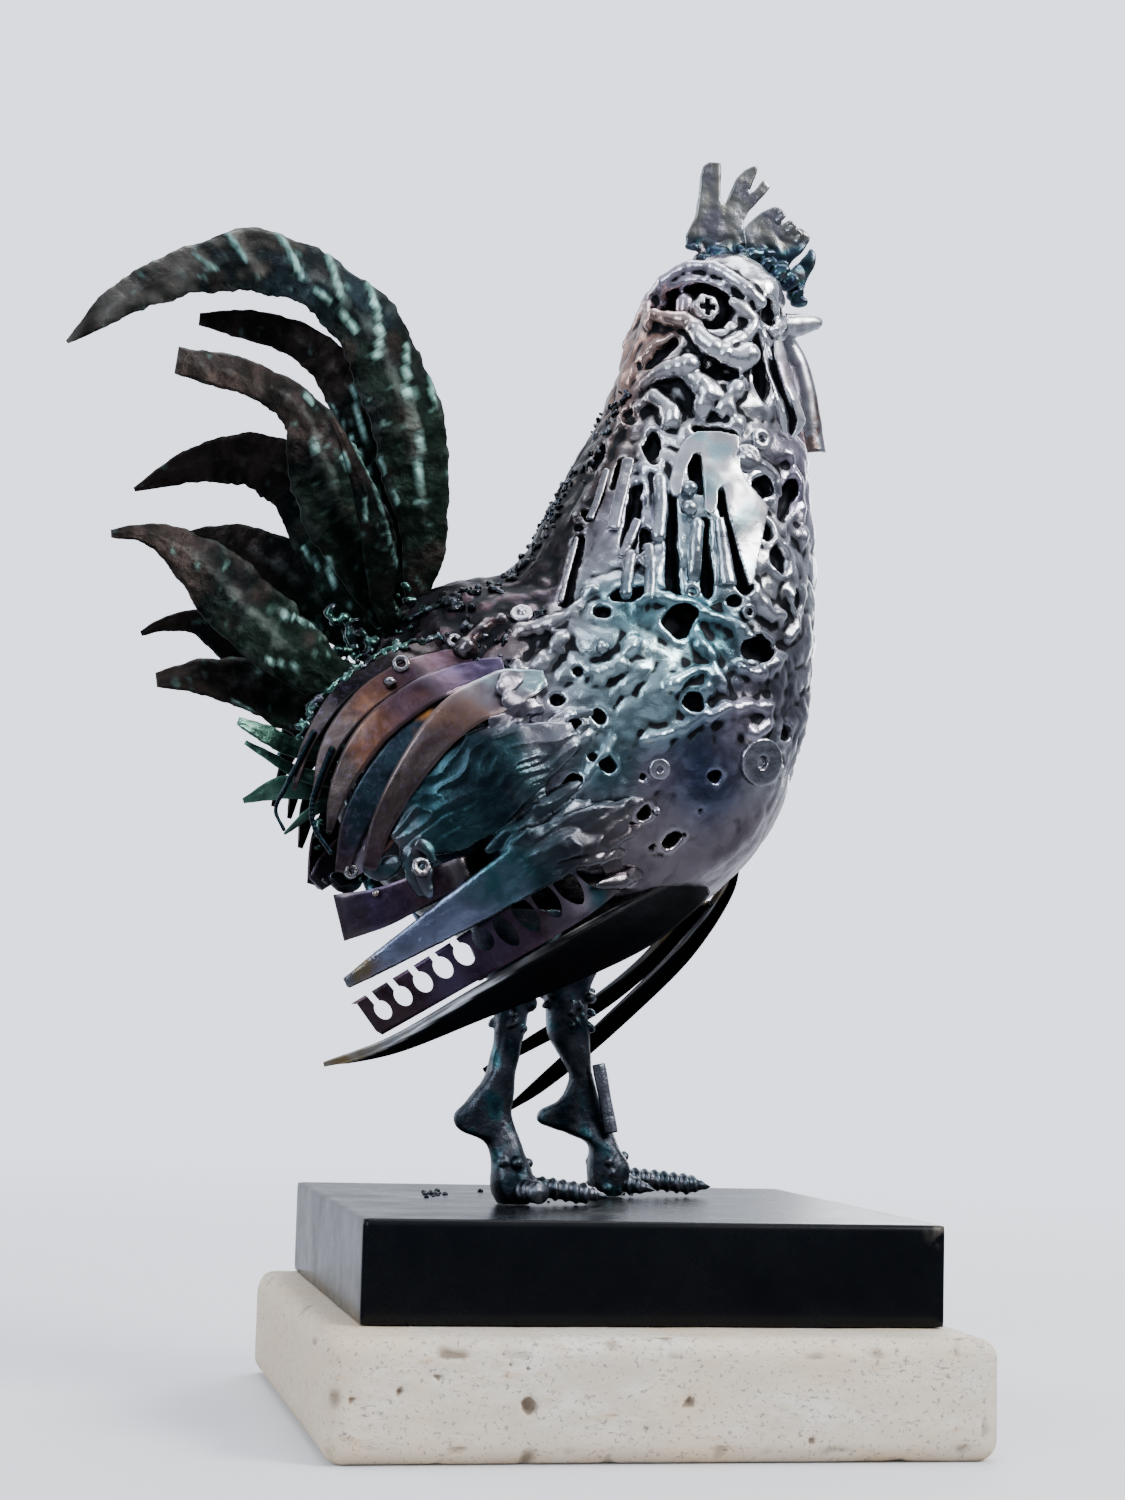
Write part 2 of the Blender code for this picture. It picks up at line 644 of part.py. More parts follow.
def make_tail(body_room):
    patina = finish("green_black_sheet", (0.05, 0.07, 0.06), 1.0, 0.50)
    for name, (offset, count, rows) in TAIL.items():
        last = len(rows) - 1
        spread = []
        for i, (x, z, width) in enumerate(rows):
            spread.append((x, z, width, -offset * (1 + TAIL_SPLAY * i / last)))
        tilt = -math.copysign(TAIL_TILT, offset)
        cut(sheet(name, spread, count, TAIL_SHEET, patina, crown=0.05, tilt=tilt), body_room)


def make_hooks():
    iron = finish("dark_iron", (0.04, 0.035, 0.04), 1.0, 0.45)
    out = (WING_SHEET / 2 + HOOK_DIAMETER / 2 + FIT_GAP) / UNIT
    hooks = {
        "hook_outer": (0, [(-112, 166), (-117, 155), (-121, 146), (-124, 138), (-121, 131)]),
        "hook_ribbed": (1, [(-106, 160), (-110, 148), (-112, 140), (-111, 132), (-105, 123)]),
    }
    for name, (layer, path) in hooks.items():
        points = []
        for x, z in smooth_rows(path, 9):
            distance = wing_surface(x, z) + layer * LAYER_PITCH / UNIT + out
            points.append(figure_point(x, -distance, z))
        rod(name, points, HOOK_DIAMETER, iron, 1)


# Legs from thigh to sole: back x, z, front x, z and half width
RIGHT_LEG = [
    (-54, 106, -14, 106, 13),
    (-51, 92, -20, 92, 12),
    (-43, 78, -27, 78, 8),
    (-41, 62, -30, 62, 5.5),
    (-44, 46, -33, 47, 5),
    (-51, 36, -33.5, 38, 4.4),
    (-55, 31, -34, 33, 4.2),
    (-53, 26, -33, 28, 4.2),
    (-44, 22, -31, 23, 5),
    (-41, 15, -28, 16, 6.5),
    (-41, 8, -25, 8, 8.5),
    (-40, 3.5, -25, 3, 8.5),
    (-38, 0.0, -27, 0.0, 7),
]
LEFT_LEG = [
    (-22, 106, 18, 106, 13),
    (-16, 90, 11, 92, 11),
    (-11, 72, 5, 75, 8.5),
    (-10, 61, 6, 62, 6.5),
    (-4, 51, 7, 51, 5.2),
    (-1, 44, 8, 45, 5),
    (-5, 36, 10, 38, 4.4),
    (-12.5, 31.5, 12, 33, 4.2),
    (-12.5, 27, 14, 28, 4.2),
    (-2, 23.5, 17, 23, 5),
    (7, 19, 19, 18, 6.5),
    (7, 10, 23, 11, 8),
    (8, 4, 23, 4, 8),
    (10, 0.0, 20, 0.0, 6.5),
]
LEG_SPREAD = 28


def toe_profile(length):
    """Threaded shank and point of a lag screw."""
    core = TOE_DIAMETER / 2 - TOE_THREAD_DEPTH
    crest = TOE_DIAMETER / 2
    profile = [(core, 0.0)]
    turns = max(int((length - TOE_POINT) / TOE_PITCH), 1)
    for k in range(turns):
        start = TOE_PITCH * k
        profile.append((core, start + 0.3 * TOE_PITCH))
        profile.append((crest, start + 0.6 * TOE_PITCH))
        profile.append((core, start + 0.9 * TOE_PITCH))
    shoulder = max(length - TOE_POINT, turns * TOE_PITCH)
    profile += [(0.85 * core, shoulder + 0.35 * (length - shoulder)), (0.12 * core, length)]
    return profile


def make_leg(label, stations, centre_y, body_room, toes):
    """A leg with its spur and hub, and toes that start in the hub: root y and z, then tip x, y, z in units."""
    iron = finish("blued_iron", (0.03, 0.045, 0.06), 1.0, 0.40)
    shape = dict(rings=15, sides=10, centre_y=centre_y, squareness=2.8)
    cut(add(f"{label}_leg", lofted_mesh(f"{label}_leg", stations, **shape), iron), body_room)
    room = add(f"{label}_leg_room", lofted_mesh(f"{label}_leg_room", stations, grow=FIT_GAP, **shape))
    hub_x = (stations[-2][0] + stations[-2][2]) / 2
    for name, root, tip in toes:
        start = figure_point(hub_x, *root)
        way = figure_point(*tip) - start
        toe = turned(f"{label}_{name}", toe_profile(way.length), 7, iron, start, way)
        cut(toe, room)


def make_legs(body_room):
    right_y = -LEG_SPREAD
    left_y = LEG_SPREAD
    lift = TOE_DIAMETER / 2 / UNIT
    right_toes = (
        ("toe_long", (right_y + 2, lift + 3), (3, right_y + 2, 2.5)),
        ("toe_stub", (right_y - 1, lift + 1.2), (-26, right_y - 17, lift + 0.8)),
    )
    left_toes = (
        ("toe_long", (left_y + 2, lift + 3.5), (57, left_y + 4, 3.5)),
        ("toe_short", (left_y - 2, lift + 2), (32, left_y - 8, 2.5)),
    )
    make_leg("right", RIGHT_LEG, right_y, body_room, right_toes)
    make_leg("left", LEFT_LEG, left_y, body_room, left_toes)
    bright = finish("shin_steel", (0.10, 0.14, 0.18), 1.0, 0.25)
    out = 3.4 + (FIT_GAP + SHIN_ROD_DIAMETER / 2) / UNIT
    ends = [figure_point(9.0, left_y - out, 50), figure_point(14.5, left_y - out, 24)]
    rod("left_shin_rod", ends, SHIN_ROD_DIAMETER, bright)


def main():
    make_plinth()
    body, body_room = make_body()
    make_comb(body_room)
    make_face(body_room)
    make_tail(body_room)
    make_hooks()
    make_right_blades(body_room)
    make_left_blades(body_room)
    make_legs(body_room)
    for label, side in (("right", -1), ("left", 1)):
        make_eye(f"{label}_eye", side, body_room)
        cut(make_hackle(f"{label}_hackle", side, body), body_room)
        make_wing(f"{label}_wing", side, body_room)


main()
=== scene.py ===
import math

import bmesh
import bpy
import numpy as np
from mathutils import Matrix, Vector
from mathutils.bvhtree import BVHTree


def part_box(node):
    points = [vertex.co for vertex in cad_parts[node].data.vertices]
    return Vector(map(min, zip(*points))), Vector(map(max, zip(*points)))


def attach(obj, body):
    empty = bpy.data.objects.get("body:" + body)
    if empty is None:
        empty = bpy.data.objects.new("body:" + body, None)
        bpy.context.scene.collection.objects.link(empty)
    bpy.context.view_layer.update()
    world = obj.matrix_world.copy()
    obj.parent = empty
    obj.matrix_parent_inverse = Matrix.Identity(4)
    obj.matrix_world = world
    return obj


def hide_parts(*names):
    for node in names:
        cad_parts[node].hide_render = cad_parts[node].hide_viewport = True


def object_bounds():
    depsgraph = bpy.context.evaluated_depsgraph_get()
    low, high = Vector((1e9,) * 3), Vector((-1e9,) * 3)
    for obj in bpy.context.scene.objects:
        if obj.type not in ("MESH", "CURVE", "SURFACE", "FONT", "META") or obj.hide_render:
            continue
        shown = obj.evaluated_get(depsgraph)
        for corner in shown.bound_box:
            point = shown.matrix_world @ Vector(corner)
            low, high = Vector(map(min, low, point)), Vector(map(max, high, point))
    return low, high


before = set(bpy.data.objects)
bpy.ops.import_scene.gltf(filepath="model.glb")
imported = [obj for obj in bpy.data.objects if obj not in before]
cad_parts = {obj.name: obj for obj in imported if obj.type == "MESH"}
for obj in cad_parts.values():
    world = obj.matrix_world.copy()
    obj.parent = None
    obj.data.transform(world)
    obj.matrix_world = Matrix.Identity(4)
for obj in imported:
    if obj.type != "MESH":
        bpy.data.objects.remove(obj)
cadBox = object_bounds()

print("frame loaded with", len(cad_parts), "nodes")

# The bird is drawn in units of about a millimetre, upwards from its soles and forwards along X
mm = 0.001
drawing = {"height": 402, "eyeX": 33}
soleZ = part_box("right_leg")[0].z
unit = (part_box("comb_fork")[1].z - soleZ) / drawing["height"]
rightEyeBox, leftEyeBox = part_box("right_eye"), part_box("left_eye")
middleY = (rightEyeBox[0].y + leftEyeBox[1].y) / 2
originX = (rightEyeBox[0].x + rightEyeBox[1].x) / 2 - drawing["eyeX"] * unit
origin = np.array((originX, middleY, soleZ))

# One camera stands where the photographer stood
view = {
    "place": (-0.2177, -0.9752, 0.1376),
    "yaw": 11.606,       # degrees from +Y towards +X
    "pitch": 5.920,
    "roll": 1.506,
    "focal": 2703.6,     # in pixels of the picture
    "width": 1125,
    "height": 1500,
    "sensor": 36.0,
}
yaw, pitch, roll = (math.radians(view[key]) for key in ("yaw", "pitch", "roll"))
lookAlong = np.array((math.sin(yaw) * math.cos(pitch), math.cos(yaw) * math.cos(pitch), math.sin(pitch)))
levelRight = np.array((math.cos(yaw), -math.sin(yaw), 0.0))
levelUp = np.cross(levelRight, lookAlong)
lookRight = levelRight * math.cos(roll) + levelUp * math.sin(roll)
lookUp = levelUp * math.cos(roll) - levelRight * math.sin(roll)

rng = np.random.default_rng(11)
slopes = rng.normal(size=(256, 3))
slopes /= np.linalg.norm(slopes, axis=1)[:, None]
shuffle = rng.permutation(256)

# Paint, as linear colours
paint = {
    "silver": (0.60, 0.61, 0.64),
    "pewter": (0.33, 0.34, 0.37),
    "lavender": (0.36, 0.32, 0.40),
    "copper": (0.30, 0.17, 0.13),
    "brown": (0.17, 0.12, 0.11),
    "umber": (0.10, 0.075, 0.07),
    "teal": (0.08, 0.24, 0.28),
    "ice": (0.42, 0.62, 0.66),
    "navy": (0.05, 0.08, 0.17),
    "violet": (0.13, 0.10, 0.19),
    "plum": (0.115, 0.065, 0.085),
    "rust": (0.21, 0.095, 0.06),
    "amber": (0.75, 0.30, 0.05),
    "mauve": (0.27, 0.235, 0.255),
    "straw": (0.42, 0.31, 0.16),
    "slate": (0.15, 0.15, 0.18),
    "verdigris": (0.12, 0.32, 0.25),
    "moss": (0.022, 0.040, 0.032),
    "patina": (0.42, 0.90, 0.70),
    "tar": (0.016, 0.019, 0.021),
    "bark": (0.25, 0.23, 0.21),
    "lagoon": (0.05, 0.13, 0.15),
    "dusk": (0.38, 0.44, 0.66),
    "olive": (0.19, 0.195, 0.175),
    "blueBlack": (0.025, 0.045, 0.06),
    "black": (0.012, 0.013, 0.016),
}


def place(x, y, z):        # drawn units to world points, for numbers or arrays
    return origin + unit * np.stack(np.broadcast_arrays(x, y, z), axis=-1).astype(float)


def smoothRows(rows, count):        # a Catmull-Rom curve through the rows, read at even steps
    rows = np.array(rows, float)
    padded = np.vstack([2 * rows[0] - rows[1], rows, 2 * rows[-1] - rows[-2]])
    steps = np.linspace(0, len(rows) - 1, count)
    first = np.minimum(steps.astype(int), len(rows) - 2)
    t = (steps - first)[:, None]
    a, b, c, d = (padded[first + k] for k in range(4))
    bend = (2 * a - 5 * b + 4 * c - d) * t**2 + (3 * b - a - 3 * c + d) * t**3
    return b + 0.5 * ((c - a) * t + bend)


def noiseAt(points, size, shift=0.0):        # smooth noise from about -0.7 to 0.7, at any array of points
    points = np.asarray(points, float)
    spot = points.reshape(-1, 3) / size + shift
    cell = np.floor(spot).astype(int)
    part = spot - cell
    fade = part**3 * (part * (part * 6 - 15) + 10)
    total = np.zeros(len(spot))
    for corner in np.ndindex(2, 2, 2):
        ix, iy, iz = ((cell + corner) & 255).T
        slope = slopes[shuffle[(shuffle[(shuffle[ix] + iy) & 255] + iz) & 255]]
        weight = np.prod(np.where(corner, fade, 1 - fade), axis=1)
        total += weight * np.einsum("ij,ij->i", slope, part - corner)
    return total.reshape(points.shape[:-1])


def unitVectors(vectors):
    vectors = np.asarray(vectors, float)
    return vectors / np.maximum(np.linalg.norm(vectors, axis=-1, keepdims=True), 1e-12)


# Shapes are pairs: points as an array, and faces as a list

def gridFaces(rows, columns, wrap=False, start=0):
    index = start + np.arange(rows * columns).reshape(rows, columns)
    if wrap:
        index = np.hstack([index, index[:, :1]])
    quads = np.stack([index[:-1, :-1], index[:-1, 1:], index[1:, 1:], index[1:, :-1]], axis=-1)
    return quads.reshape(-1, 4).tolist()


def joined(shapes):
    points, faces, start = [], [], 0
    for shapePoints, shapeFaces in shapes:
        points.append(np.asarray(shapePoints, float))
        faces += [[index + start for index in face] for face in shapeFaces]
        start += len(shapePoints)
    return np.vstack(points), faces


def facingOut(shape):        # the same closed shape with its faces turned outwards
    points, faces = shape
    volume = 0.0
    for size in (3, 4):
        chosen = np.array([face for face in faces if len(face) == size], int).reshape(-1, size)
        a, b, c = (points[chosen[:, k]] for k in (0, 1, 2))
        volume += np.einsum("ij,ij->", a, np.cross(b, c))
        if size == 4:
            volume += np.einsum("ij,ij->", a, np.cross(c, points[chosen[:, 3]]))
    return (points, [face[::-1] for face in faces]) if volume < 0 else shape


def ringShape(rings):        # closed skin through rings of points, with a fan over each end
    rings = np.asarray(rings, float)
    count, sides = rings.shape[:2]
    faces = gridFaces(count, sides, wrap=True)
    points = np.vstack([rings.reshape(-1, 3), rings[0].mean(0), rings[-1].mean(0)])
    last = (count - 1) * sides
    for k in range(sides):
        m = (k + 1) % sides
        faces.append([m, k, count * sides])
        faces.append([last + k, last + m, count * sides + 1])
    return facingOut((points, faces))


def tube(path, radii, sides=14, facing=(0, -1, 0), flatness=1.0, domes=True):
    path = np.asarray(path, float)
    radii = np.broadcast_to(np.asarray(radii, float), len(path)).copy()
    ahead = unitVectors(np.gradient(path, axis=0))
    if domes:
        bends = np.radians((80, 55, 28))
        head = [path[0] - ahead[0] * radii[0] * math.sin(b) for b in bends]
        tail = [path[-1] + ahead[-1] * radii[-1] * math.sin(b) for b in bends[::-1]]
        path = np.vstack([head, path, tail])
        shrink = np.cos(bends)
        radii = np.concatenate([radii[0] * shrink, radii, radii[-1] * shrink[::-1]])
        ahead = np.vstack([[ahead[0]] * 3, ahead, [ahead[-1]] * 3])
    facing = np.broadcast_to(np.asarray(facing, float), path.shape) if np.ndim(facing) == 1 else np.asarray(facing)
    across = unitVectors(np.cross(ahead, facing))
    out = unitVectors(np.cross(across, ahead))
    turn = 2 * math.pi * np.arange(sides) / sides
    rings = path[:, None] + radii[:, None, None] * (
        across[:, None] * np.cos(turn)[None, :, None] + flatness * out[:, None] * np.sin(turn)[None, :, None]
    )
    return ringShape(rings)


def blob(centre, radii, rings=8, sides=12, facing=(0, 0, 1)):
    turnUp = np.array(Vector(facing).to_track_quat("Z", "Y").to_matrix())
    rows = []
    for bend in np.linspace(math.radians(8), math.radians(172), rings):
        turn = 2 * math.pi * np.arange(sides) / sides
        row = np.stack([np.sin(bend) * np.cos(turn), np.sin(bend) * np.sin(turn), np.full(sides, np.cos(bend))], -1)
        rows.append(row * np.broadcast_to(radii, 3))
    rings = np.array(rows) @ turnUp.T + np.asarray(centre, float)
    return ringShape(rings)


def latheAt(profile, sides, centre, facing, wobble=None):        # radius and height pairs, turned
    turnUp = np.array(Vector(facing).to_track_quat("Z", "Y").to_matrix())
    turn = 2 * math.pi * np.arange(sides) / sides
    rings = []
    for radius, height in profile:
        spread = radius * (1 + (wobble(turn, height) if wobble else 0))
        rings.append(np.stack([spread * np.cos(turn), spread * np.sin(turn), np.full(sides, height)], -1))
    return ringShape(np.array(rings) @ turnUp.T + np.asarray(centre, float))


def shapeOf(mesh):
    points = np.empty(len(mesh.vertices) * 3)
    mesh.vertices.foreach_get("co", points)
    return points.reshape(-1, 3), [list(face.vertices) for face in mesh.polygons]


def throughModifiers(shape, modifiers):        # the shape after modifiers given as (kind, settings)
    mesh = bpy.data.meshes.new("working")
    mesh.from_pydata(shape[0].tolist(), [], shape[1])
    item = bpy.data.objects.new("working", mesh)
    bpy.context.scene.collection.objects.link(item)
    for kind, settings in modifiers:
        modifier = item.modifiers.new(kind, kind)
        for key, value in settings.items():
            setattr(modifier, key, value)
    bpy.context.view_layer.update()
    result = shapeOf(item.evaluated_get(bpy.context.evaluated_depsgraph_get()).data)
    bpy.data.objects.remove(item, do_unlink=True)
    bpy.data.meshes.remove(mesh)
    return result


def fused(shape, voxel, smooth=1):        # overlapping shapes run together, as weld metal does
    steps = [("REMESH", {"mode": "VOXEL", "voxel_size": voxel})]
    if smooth:
        steps.append(("SMOOTH", {"factor": 0.5, "iterations": smooth}))
    return throughModifiers(shape, steps)


def edgesOf(faces):
    pairs = set()
    for face in faces:
        for k in range(len(face)):
            a, b = face[k], face[(k + 1) % len(face)]
            pairs.add((a, b) if a < b else (b, a))
    return np.array(sorted(pairs))


def normalsOf(shape):
    points, faces = shape
    total = np.zeros_like(points)
    for size in (3, 4):
        chosen = np.array([face for face in faces if len(face) == size])
        if len(chosen) == 0:
            continue
        first = points[chosen[:, 2]] - points[chosen[:, 0]]
        second = points[chosen[:, -1]] - points[chosen[:, 1]]
        cross = np.cross(first, second)
        for k in range(size):
            for axis in range(3):
                total[:, axis] += np.bincount(chosen[:, k], cross[:, axis], len(points))
    return unitVectors(total)


def spreadOut(values, edges, rounds):        # each point takes the average of its neighbours
    values = np.array(values, float)
    count = np.bincount(edges.ravel(), minlength=len(values))
    for _ in range(rounds):
        total = np.zeros_like(values)
        for axis in range(values.shape[1]):
            total[:, axis] = np.bincount(edges[:, 0], values[edges[:, 1], axis], len(values))
            total[:, axis] += np.bincount(edges[:, 1], values[edges[:, 0], axis], len(values))
        values = total / np.maximum(count, 1)[:, None]
    return values


def hollowsOf(shape, reach=1.0 * mm, rounds=14):        # above 0 in a hollow and below 0 on a ridge
    edges = edgesOf(shape[1])
    lift = spreadOut(shape[0], edges, rounds) - shape[0]
    return np.clip(np.einsum("ij,ij->i", lift, normalsOf(shape)) / reach, -1, 1)


def addNode(tree, kind, inputs=None, **settings):
    node = tree.nodes.new("ShaderNode" + kind)
    for key, value in settings.items():
        setattr(node, key, value)
    for key, value in (inputs or {}).items():
        if isinstance(value, bpy.types.NodeSocket):
            tree.links.new(value, node.inputs[key])
        else:
            node.inputs[key].default_value = value
    return node


def mixed(tree, factor, first, second, blend="MIX"):
    node = addNode(tree, "Mix", {0: factor, 6: first, 7: second}, data_type="RGBA", blend_type=blend)
    return node.outputs[2]


def ranged(tree, value, low, high, toLow=0.0, toHigh=1.0):
    inputs = {"Value": value, "From Min": low, "From Max": high, "To Min": toLow, "To Max": toHigh}
    return addNode(tree, "MapRange", inputs).outputs[0]


def newMaterial(name, **settings):        # a Principled shader with plain values on its own sockets
    made = bpy.data.materials.new(name)
    made.use_nodes = True
    shader = made.node_tree.nodes["Principled BSDF"]
    for key, value in settings.items():
        shader.inputs[key.replace("_", " ")].default_value = value
    return made, made.node_tree, shader


def metalMaterial(name, look):        # painted steel with soot and painted shade in its hollows, and bare metal with a painted highlight on its ridges
    made, tree, shader = newMaterial(name, Metallic=look.get("metallic", 1.0))
    spot = addNode(tree, "TexCoord").outputs["Object"]
    tint = addNode(tree, "Attribute", attribute_name="tint").outputs["Color"]
    hollow = addNode(tree, "Attribute", attribute_name="hollow").outputs["Fac"]
    patches = addNode(tree, "TexNoise", {"Vector": spot, "Scale": look["patches"], "Detail": 5.0, "Distortion": 0.6})
    grain = addNode(tree, "TexNoise", {"Vector": spot, "Scale": look["grain"], "Detail": 6.0, "Roughness": 0.65})
    dulled = mixed(tree, 1.0, tint, (*look["dull"], 1.0), "MULTIPLY")
    colour = mixed(tree, ranged(tree, patches.outputs[0], 0.42, 0.62), tint, dulled)
    film = mixed(tree, ranged(tree, grain.outputs[0], 0.5, 0.75, 0.0, look["film"]), colour, (*look["filmTint"], 1.0))
    # the hollows go towards the soot colour: partly soot, partly painted shade
    sootShadeMask = ranged(tree, hollow, look["sootShadeFrom"], look["sootShadeTo"])
    shaded = mixed(tree, sootShadeMask, film, (*look["sootShadeColour"], 1.0))
    # the ridges go towards bare metal: partly wear, partly a painted highlight
    worn = ranged(tree, hollow, -look["wearSheenFrom"], -look["wearSheenTo"], 0.0, look["worn"])
    rubbedSheen = mixed(tree, 0.3, mixed(tree, 1.0, tint, (2.0, 2.0, 2.0, 1.0), "MULTIPLY"), (*look["bright"], 1.0))
    tree.links.new(mixed(tree, worn, shaded, rubbedSheen), shader.inputs["Base Color"])
    rough = ranged(tree, patches.outputs[0], 0.3, 0.7, look["rough"][0], look["rough"][1])
    dirt = addNode(tree, "Math", {0: sootShadeMask, 1: look["sootRough"]}, operation="MULTIPLY").outputs[0]
    total = addNode(tree, "Math", {0: rough, 1: dirt}, operation="ADD", use_clamp=True).outputs[0]
    tree.links.new(total, shader.inputs["Roughness"])
    dents = addNode(tree, "TexVoronoi", {"Vector": spot, "Scale": look["dents"]}, feature="SMOOTH_F1")
    height = addNode(tree, "Math", {0: grain.outputs[0], 1: dents.outputs[0]}, operation="ADD").outputs[0]
    bump = addNode(tree, "Bump", {"Strength": look["bump"], "Distance": look["bumpDepth"], "Height": height})
    tree.links.new(bump.outputs[0], shader.inputs["Normal"])
    return made


plainLook = {
    "patches": 55, "grain": 420, "dents": 260, "dull": (0.62, 0.60, 0.62), "film": 0.25,
    "filmTint": paint["slate"], "sootShadeColour": paint["black"], "sootShadeFrom": 0.12, "sootShadeTo": 0.55, "sootRough": 0.35,
    "wearSheenFrom": 0.15, "wearSheenTo": 0.7, "worn": 0.55, "bright": (0.72, 0.72, 0.74), "rough": (0.22, 0.42),
    "bump": 0.35, "bumpDepth": 0.0004,
}


def blended(stops, amount):        # a tint between stops given as (place, colour name)
    places = [stop[0] for stop in stops]
    colours = np.array([paint[stop[1]] for stop in stops])
    return np.stack([np.interp(amount, places, colours[:, k]) for k in range(3)], axis=-1)


# The most triangles that the larger pieces keep, by the end of their names
mostFaces = {
    "travertine": 90000, "wing_flow": 46000, "leg_forging": 33000, "welded_scrap": 35000, "weld_chains": 27000,
    "molten_body": 236000,
}


def thinned(name, shape, tint, hollow):        # fewer faces where the skin is flat, with its paint carried over
    most = [count for ending, count in mostFaces.items() if name.endswith(ending)]
    points, faces = shape
    triangles = sum(len(face) - 2 for face in faces)
    if not most or triangles <= most[0]:
        return shape, tint, hollow
    mesh = bpy.data.meshes.new("working")
    mesh.from_pydata(points.tolist(), [], faces)
    tints = np.broadcast_to(np.asarray(tint, np.float32), (len(points), 3))
    mesh.attributes.new("tint", "FLOAT_VECTOR", "POINT").data.foreach_set("vector", tints.ravel())
    mesh.attributes.new("hollow", "FLOAT", "POINT").data.foreach_set("value", np.asarray(hollow, np.float32))
    item = bpy.data.objects.new("working", mesh)
    bpy.context.scene.collection.objects.link(item)
    item.modifiers.new("thinned", "DECIMATE").ratio = most[0] / triangles
    bpy.context.view_layer.update()
    result = item.evaluated_get(bpy.context.evaluated_depsgraph_get()).data
    tints = np.empty(len(result.vertices) * 3, np.float32)
    depths = np.empty(len(result.vertices), np.float32)
    result.attributes["tint"].data.foreach_get("vector", tints)
    result.attributes["hollow"].data.foreach_get("value", depths)
    made = shapeOf(result)
    bpy.data.objects.remove(item, do_unlink=True)
    bpy.data.meshes.remove(mesh)
    return made, tints.reshape(-1, 3), depths


def newPiece(name, shape, material, nodes, tint, hollow=None):
    shape, tint, hollow = thinned(name, shape, tint, hollowsOf(shape) if hollow is None else hollow)
    points, faces = shape
    mesh = bpy.data.meshes.new(name)
    mesh.from_pydata(points.tolist(), [], faces)
    mesh.materials.append(material)
    mesh.shade_smooth()
    colours = np.ones((len(points), 4), np.float32)
    colours[:, :3] = tint
    mesh.attributes.new("tint", "FLOAT_COLOR", "POINT").data.foreach_set("color", colours.ravel())
    mesh.attributes.new("hollow", "FLOAT", "POINT").data.foreach_set("value", hollow.astype(np.float32))
    piece = bpy.data.objects.new(name, mesh)
    bpy.context.scene.collection.objects.link(piece)
    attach(piece, "root")
    if nodes:
        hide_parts(*nodes)
    print("  ", name, len(faces), "faces")
    return piece


# Studio
studio = {
    "floorReach": 6.0,
    "fade": (0.35, 1.9),      # the floor pales into the backdrop between these reaches
    "paper": (0.74, 0.75, 0.78),
    "backdrop": (0.725, 0.755, 0.86),
    "backdropStrength": 2.7,
    "roomDim": (0.013, 0.015, 0.021),      # what the metal mirrors where no light stands
    "roomPale": (0.36, 0.385, 0.44),
    "tableShare": 0.42,      # how pale the table below looks in the metal
    # area lights: place, width, height, power in watts, colour
    "lights": {
        "key": ((1.5, -1.3, 1.7), 1.1, 0.8, 62.0, (1.0, 0.98, 0.95)),
        "window": ((-1.6, -1.7, 1.1), 0.9, 1.4, 26.0, (0.80, 0.90, 1.0)),
        "overhead": ((0.1, 0.3, 2.3), 1.6, 1.6, 38.0, (0.95, 0.97, 1.0)),
        "rim": ((1.0, 1.8, 1.0), 0.8, 1.4, 22.0, (0.95, 0.97, 1.0)),
        "rimLeft": ((-1.8, 1.2, 0.9), 0.7, 1.4, 16.0, (0.92, 0.95, 1.0)),
    },
}


def makeCamera():
    lens = view["focal"] * view["sensor"] / max(view["width"], view["height"])
    data = bpy.data.cameras.new("camera")
    data.sensor_width = view["sensor"]
    data.lens = lens
    data.clip_start = 0.02
    data.clip_end = 50
    camera = bpy.data.objects.new("camera", data)
    bpy.context.scene.collection.objects.link(camera)
    turn = Matrix((lookRight.tolist(), lookUp.tolist(), (-lookAlong).tolist())).transposed()
    camera.matrix_world = Matrix.Translation(view["place"]) @ turn.to_4x4()
    bpy.context.scene.camera = camera


def makeLights():
    for name, (spot, width, height, power, colour) in studio["lights"].items():
        data = bpy.data.lights.new(name, "AREA")
        data.shape = "RECTANGLE"
        data.size = width
        data.size_y = height
        data.energy = power
        data.color = colour
        lamp = bpy.data.objects.new(name, data)
        bpy.context.scene.collection.objects.link(lamp)
        lamp.location = spot
        lamp.rotation_mode = "QUATERNION"
        lamp.rotation_quaternion = (Vector(spot) - Vector((0, 0, 0.28))).to_track_quat("Z", "Y")


def makeWorld():        # pale where the camera looks, and dim with pale bands for the metal to mirror
    world = bpy.data.worlds.new("room")
    bpy.context.scene.world = world
    world.use_nodes = True
    tree = world.node_tree
    backdrop = tree.nodes["Background"]
    way = addNode(tree, "TexCoord").outputs["Generated"]
    parts = addNode(tree, "SeparateXYZ", {0: way})
    upward = ranged(tree, parts.outputs[2], -0.1, 0.9)
    sideways = ranged(tree, parts.outputs[1], -0.2, 0.9)
    above = addNode(tree, "Math", {0: upward, 1: sideways}, operation="MAXIMUM").outputs[0]
    below = ranged(tree, parts.outputs[2], -0.02, -0.35, 0.0, studio["tableShare"])
    pale = addNode(tree, "Math", {0: above, 1: below}, operation="MAXIMUM").outputs[0]
    room = mixed(tree, pale, (*studio["roomDim"], 1.0), (*studio["roomPale"], 1.0))
    seen = addNode(tree, "LightPath").outputs["Is Camera Ray"]
    tree.links.new(mixed(tree, seen, room, (*studio["backdrop"], 1.0)), backdrop.inputs["Color"])
    backdrop.inputs["Strength"].default_value = studio["backdropStrength"]


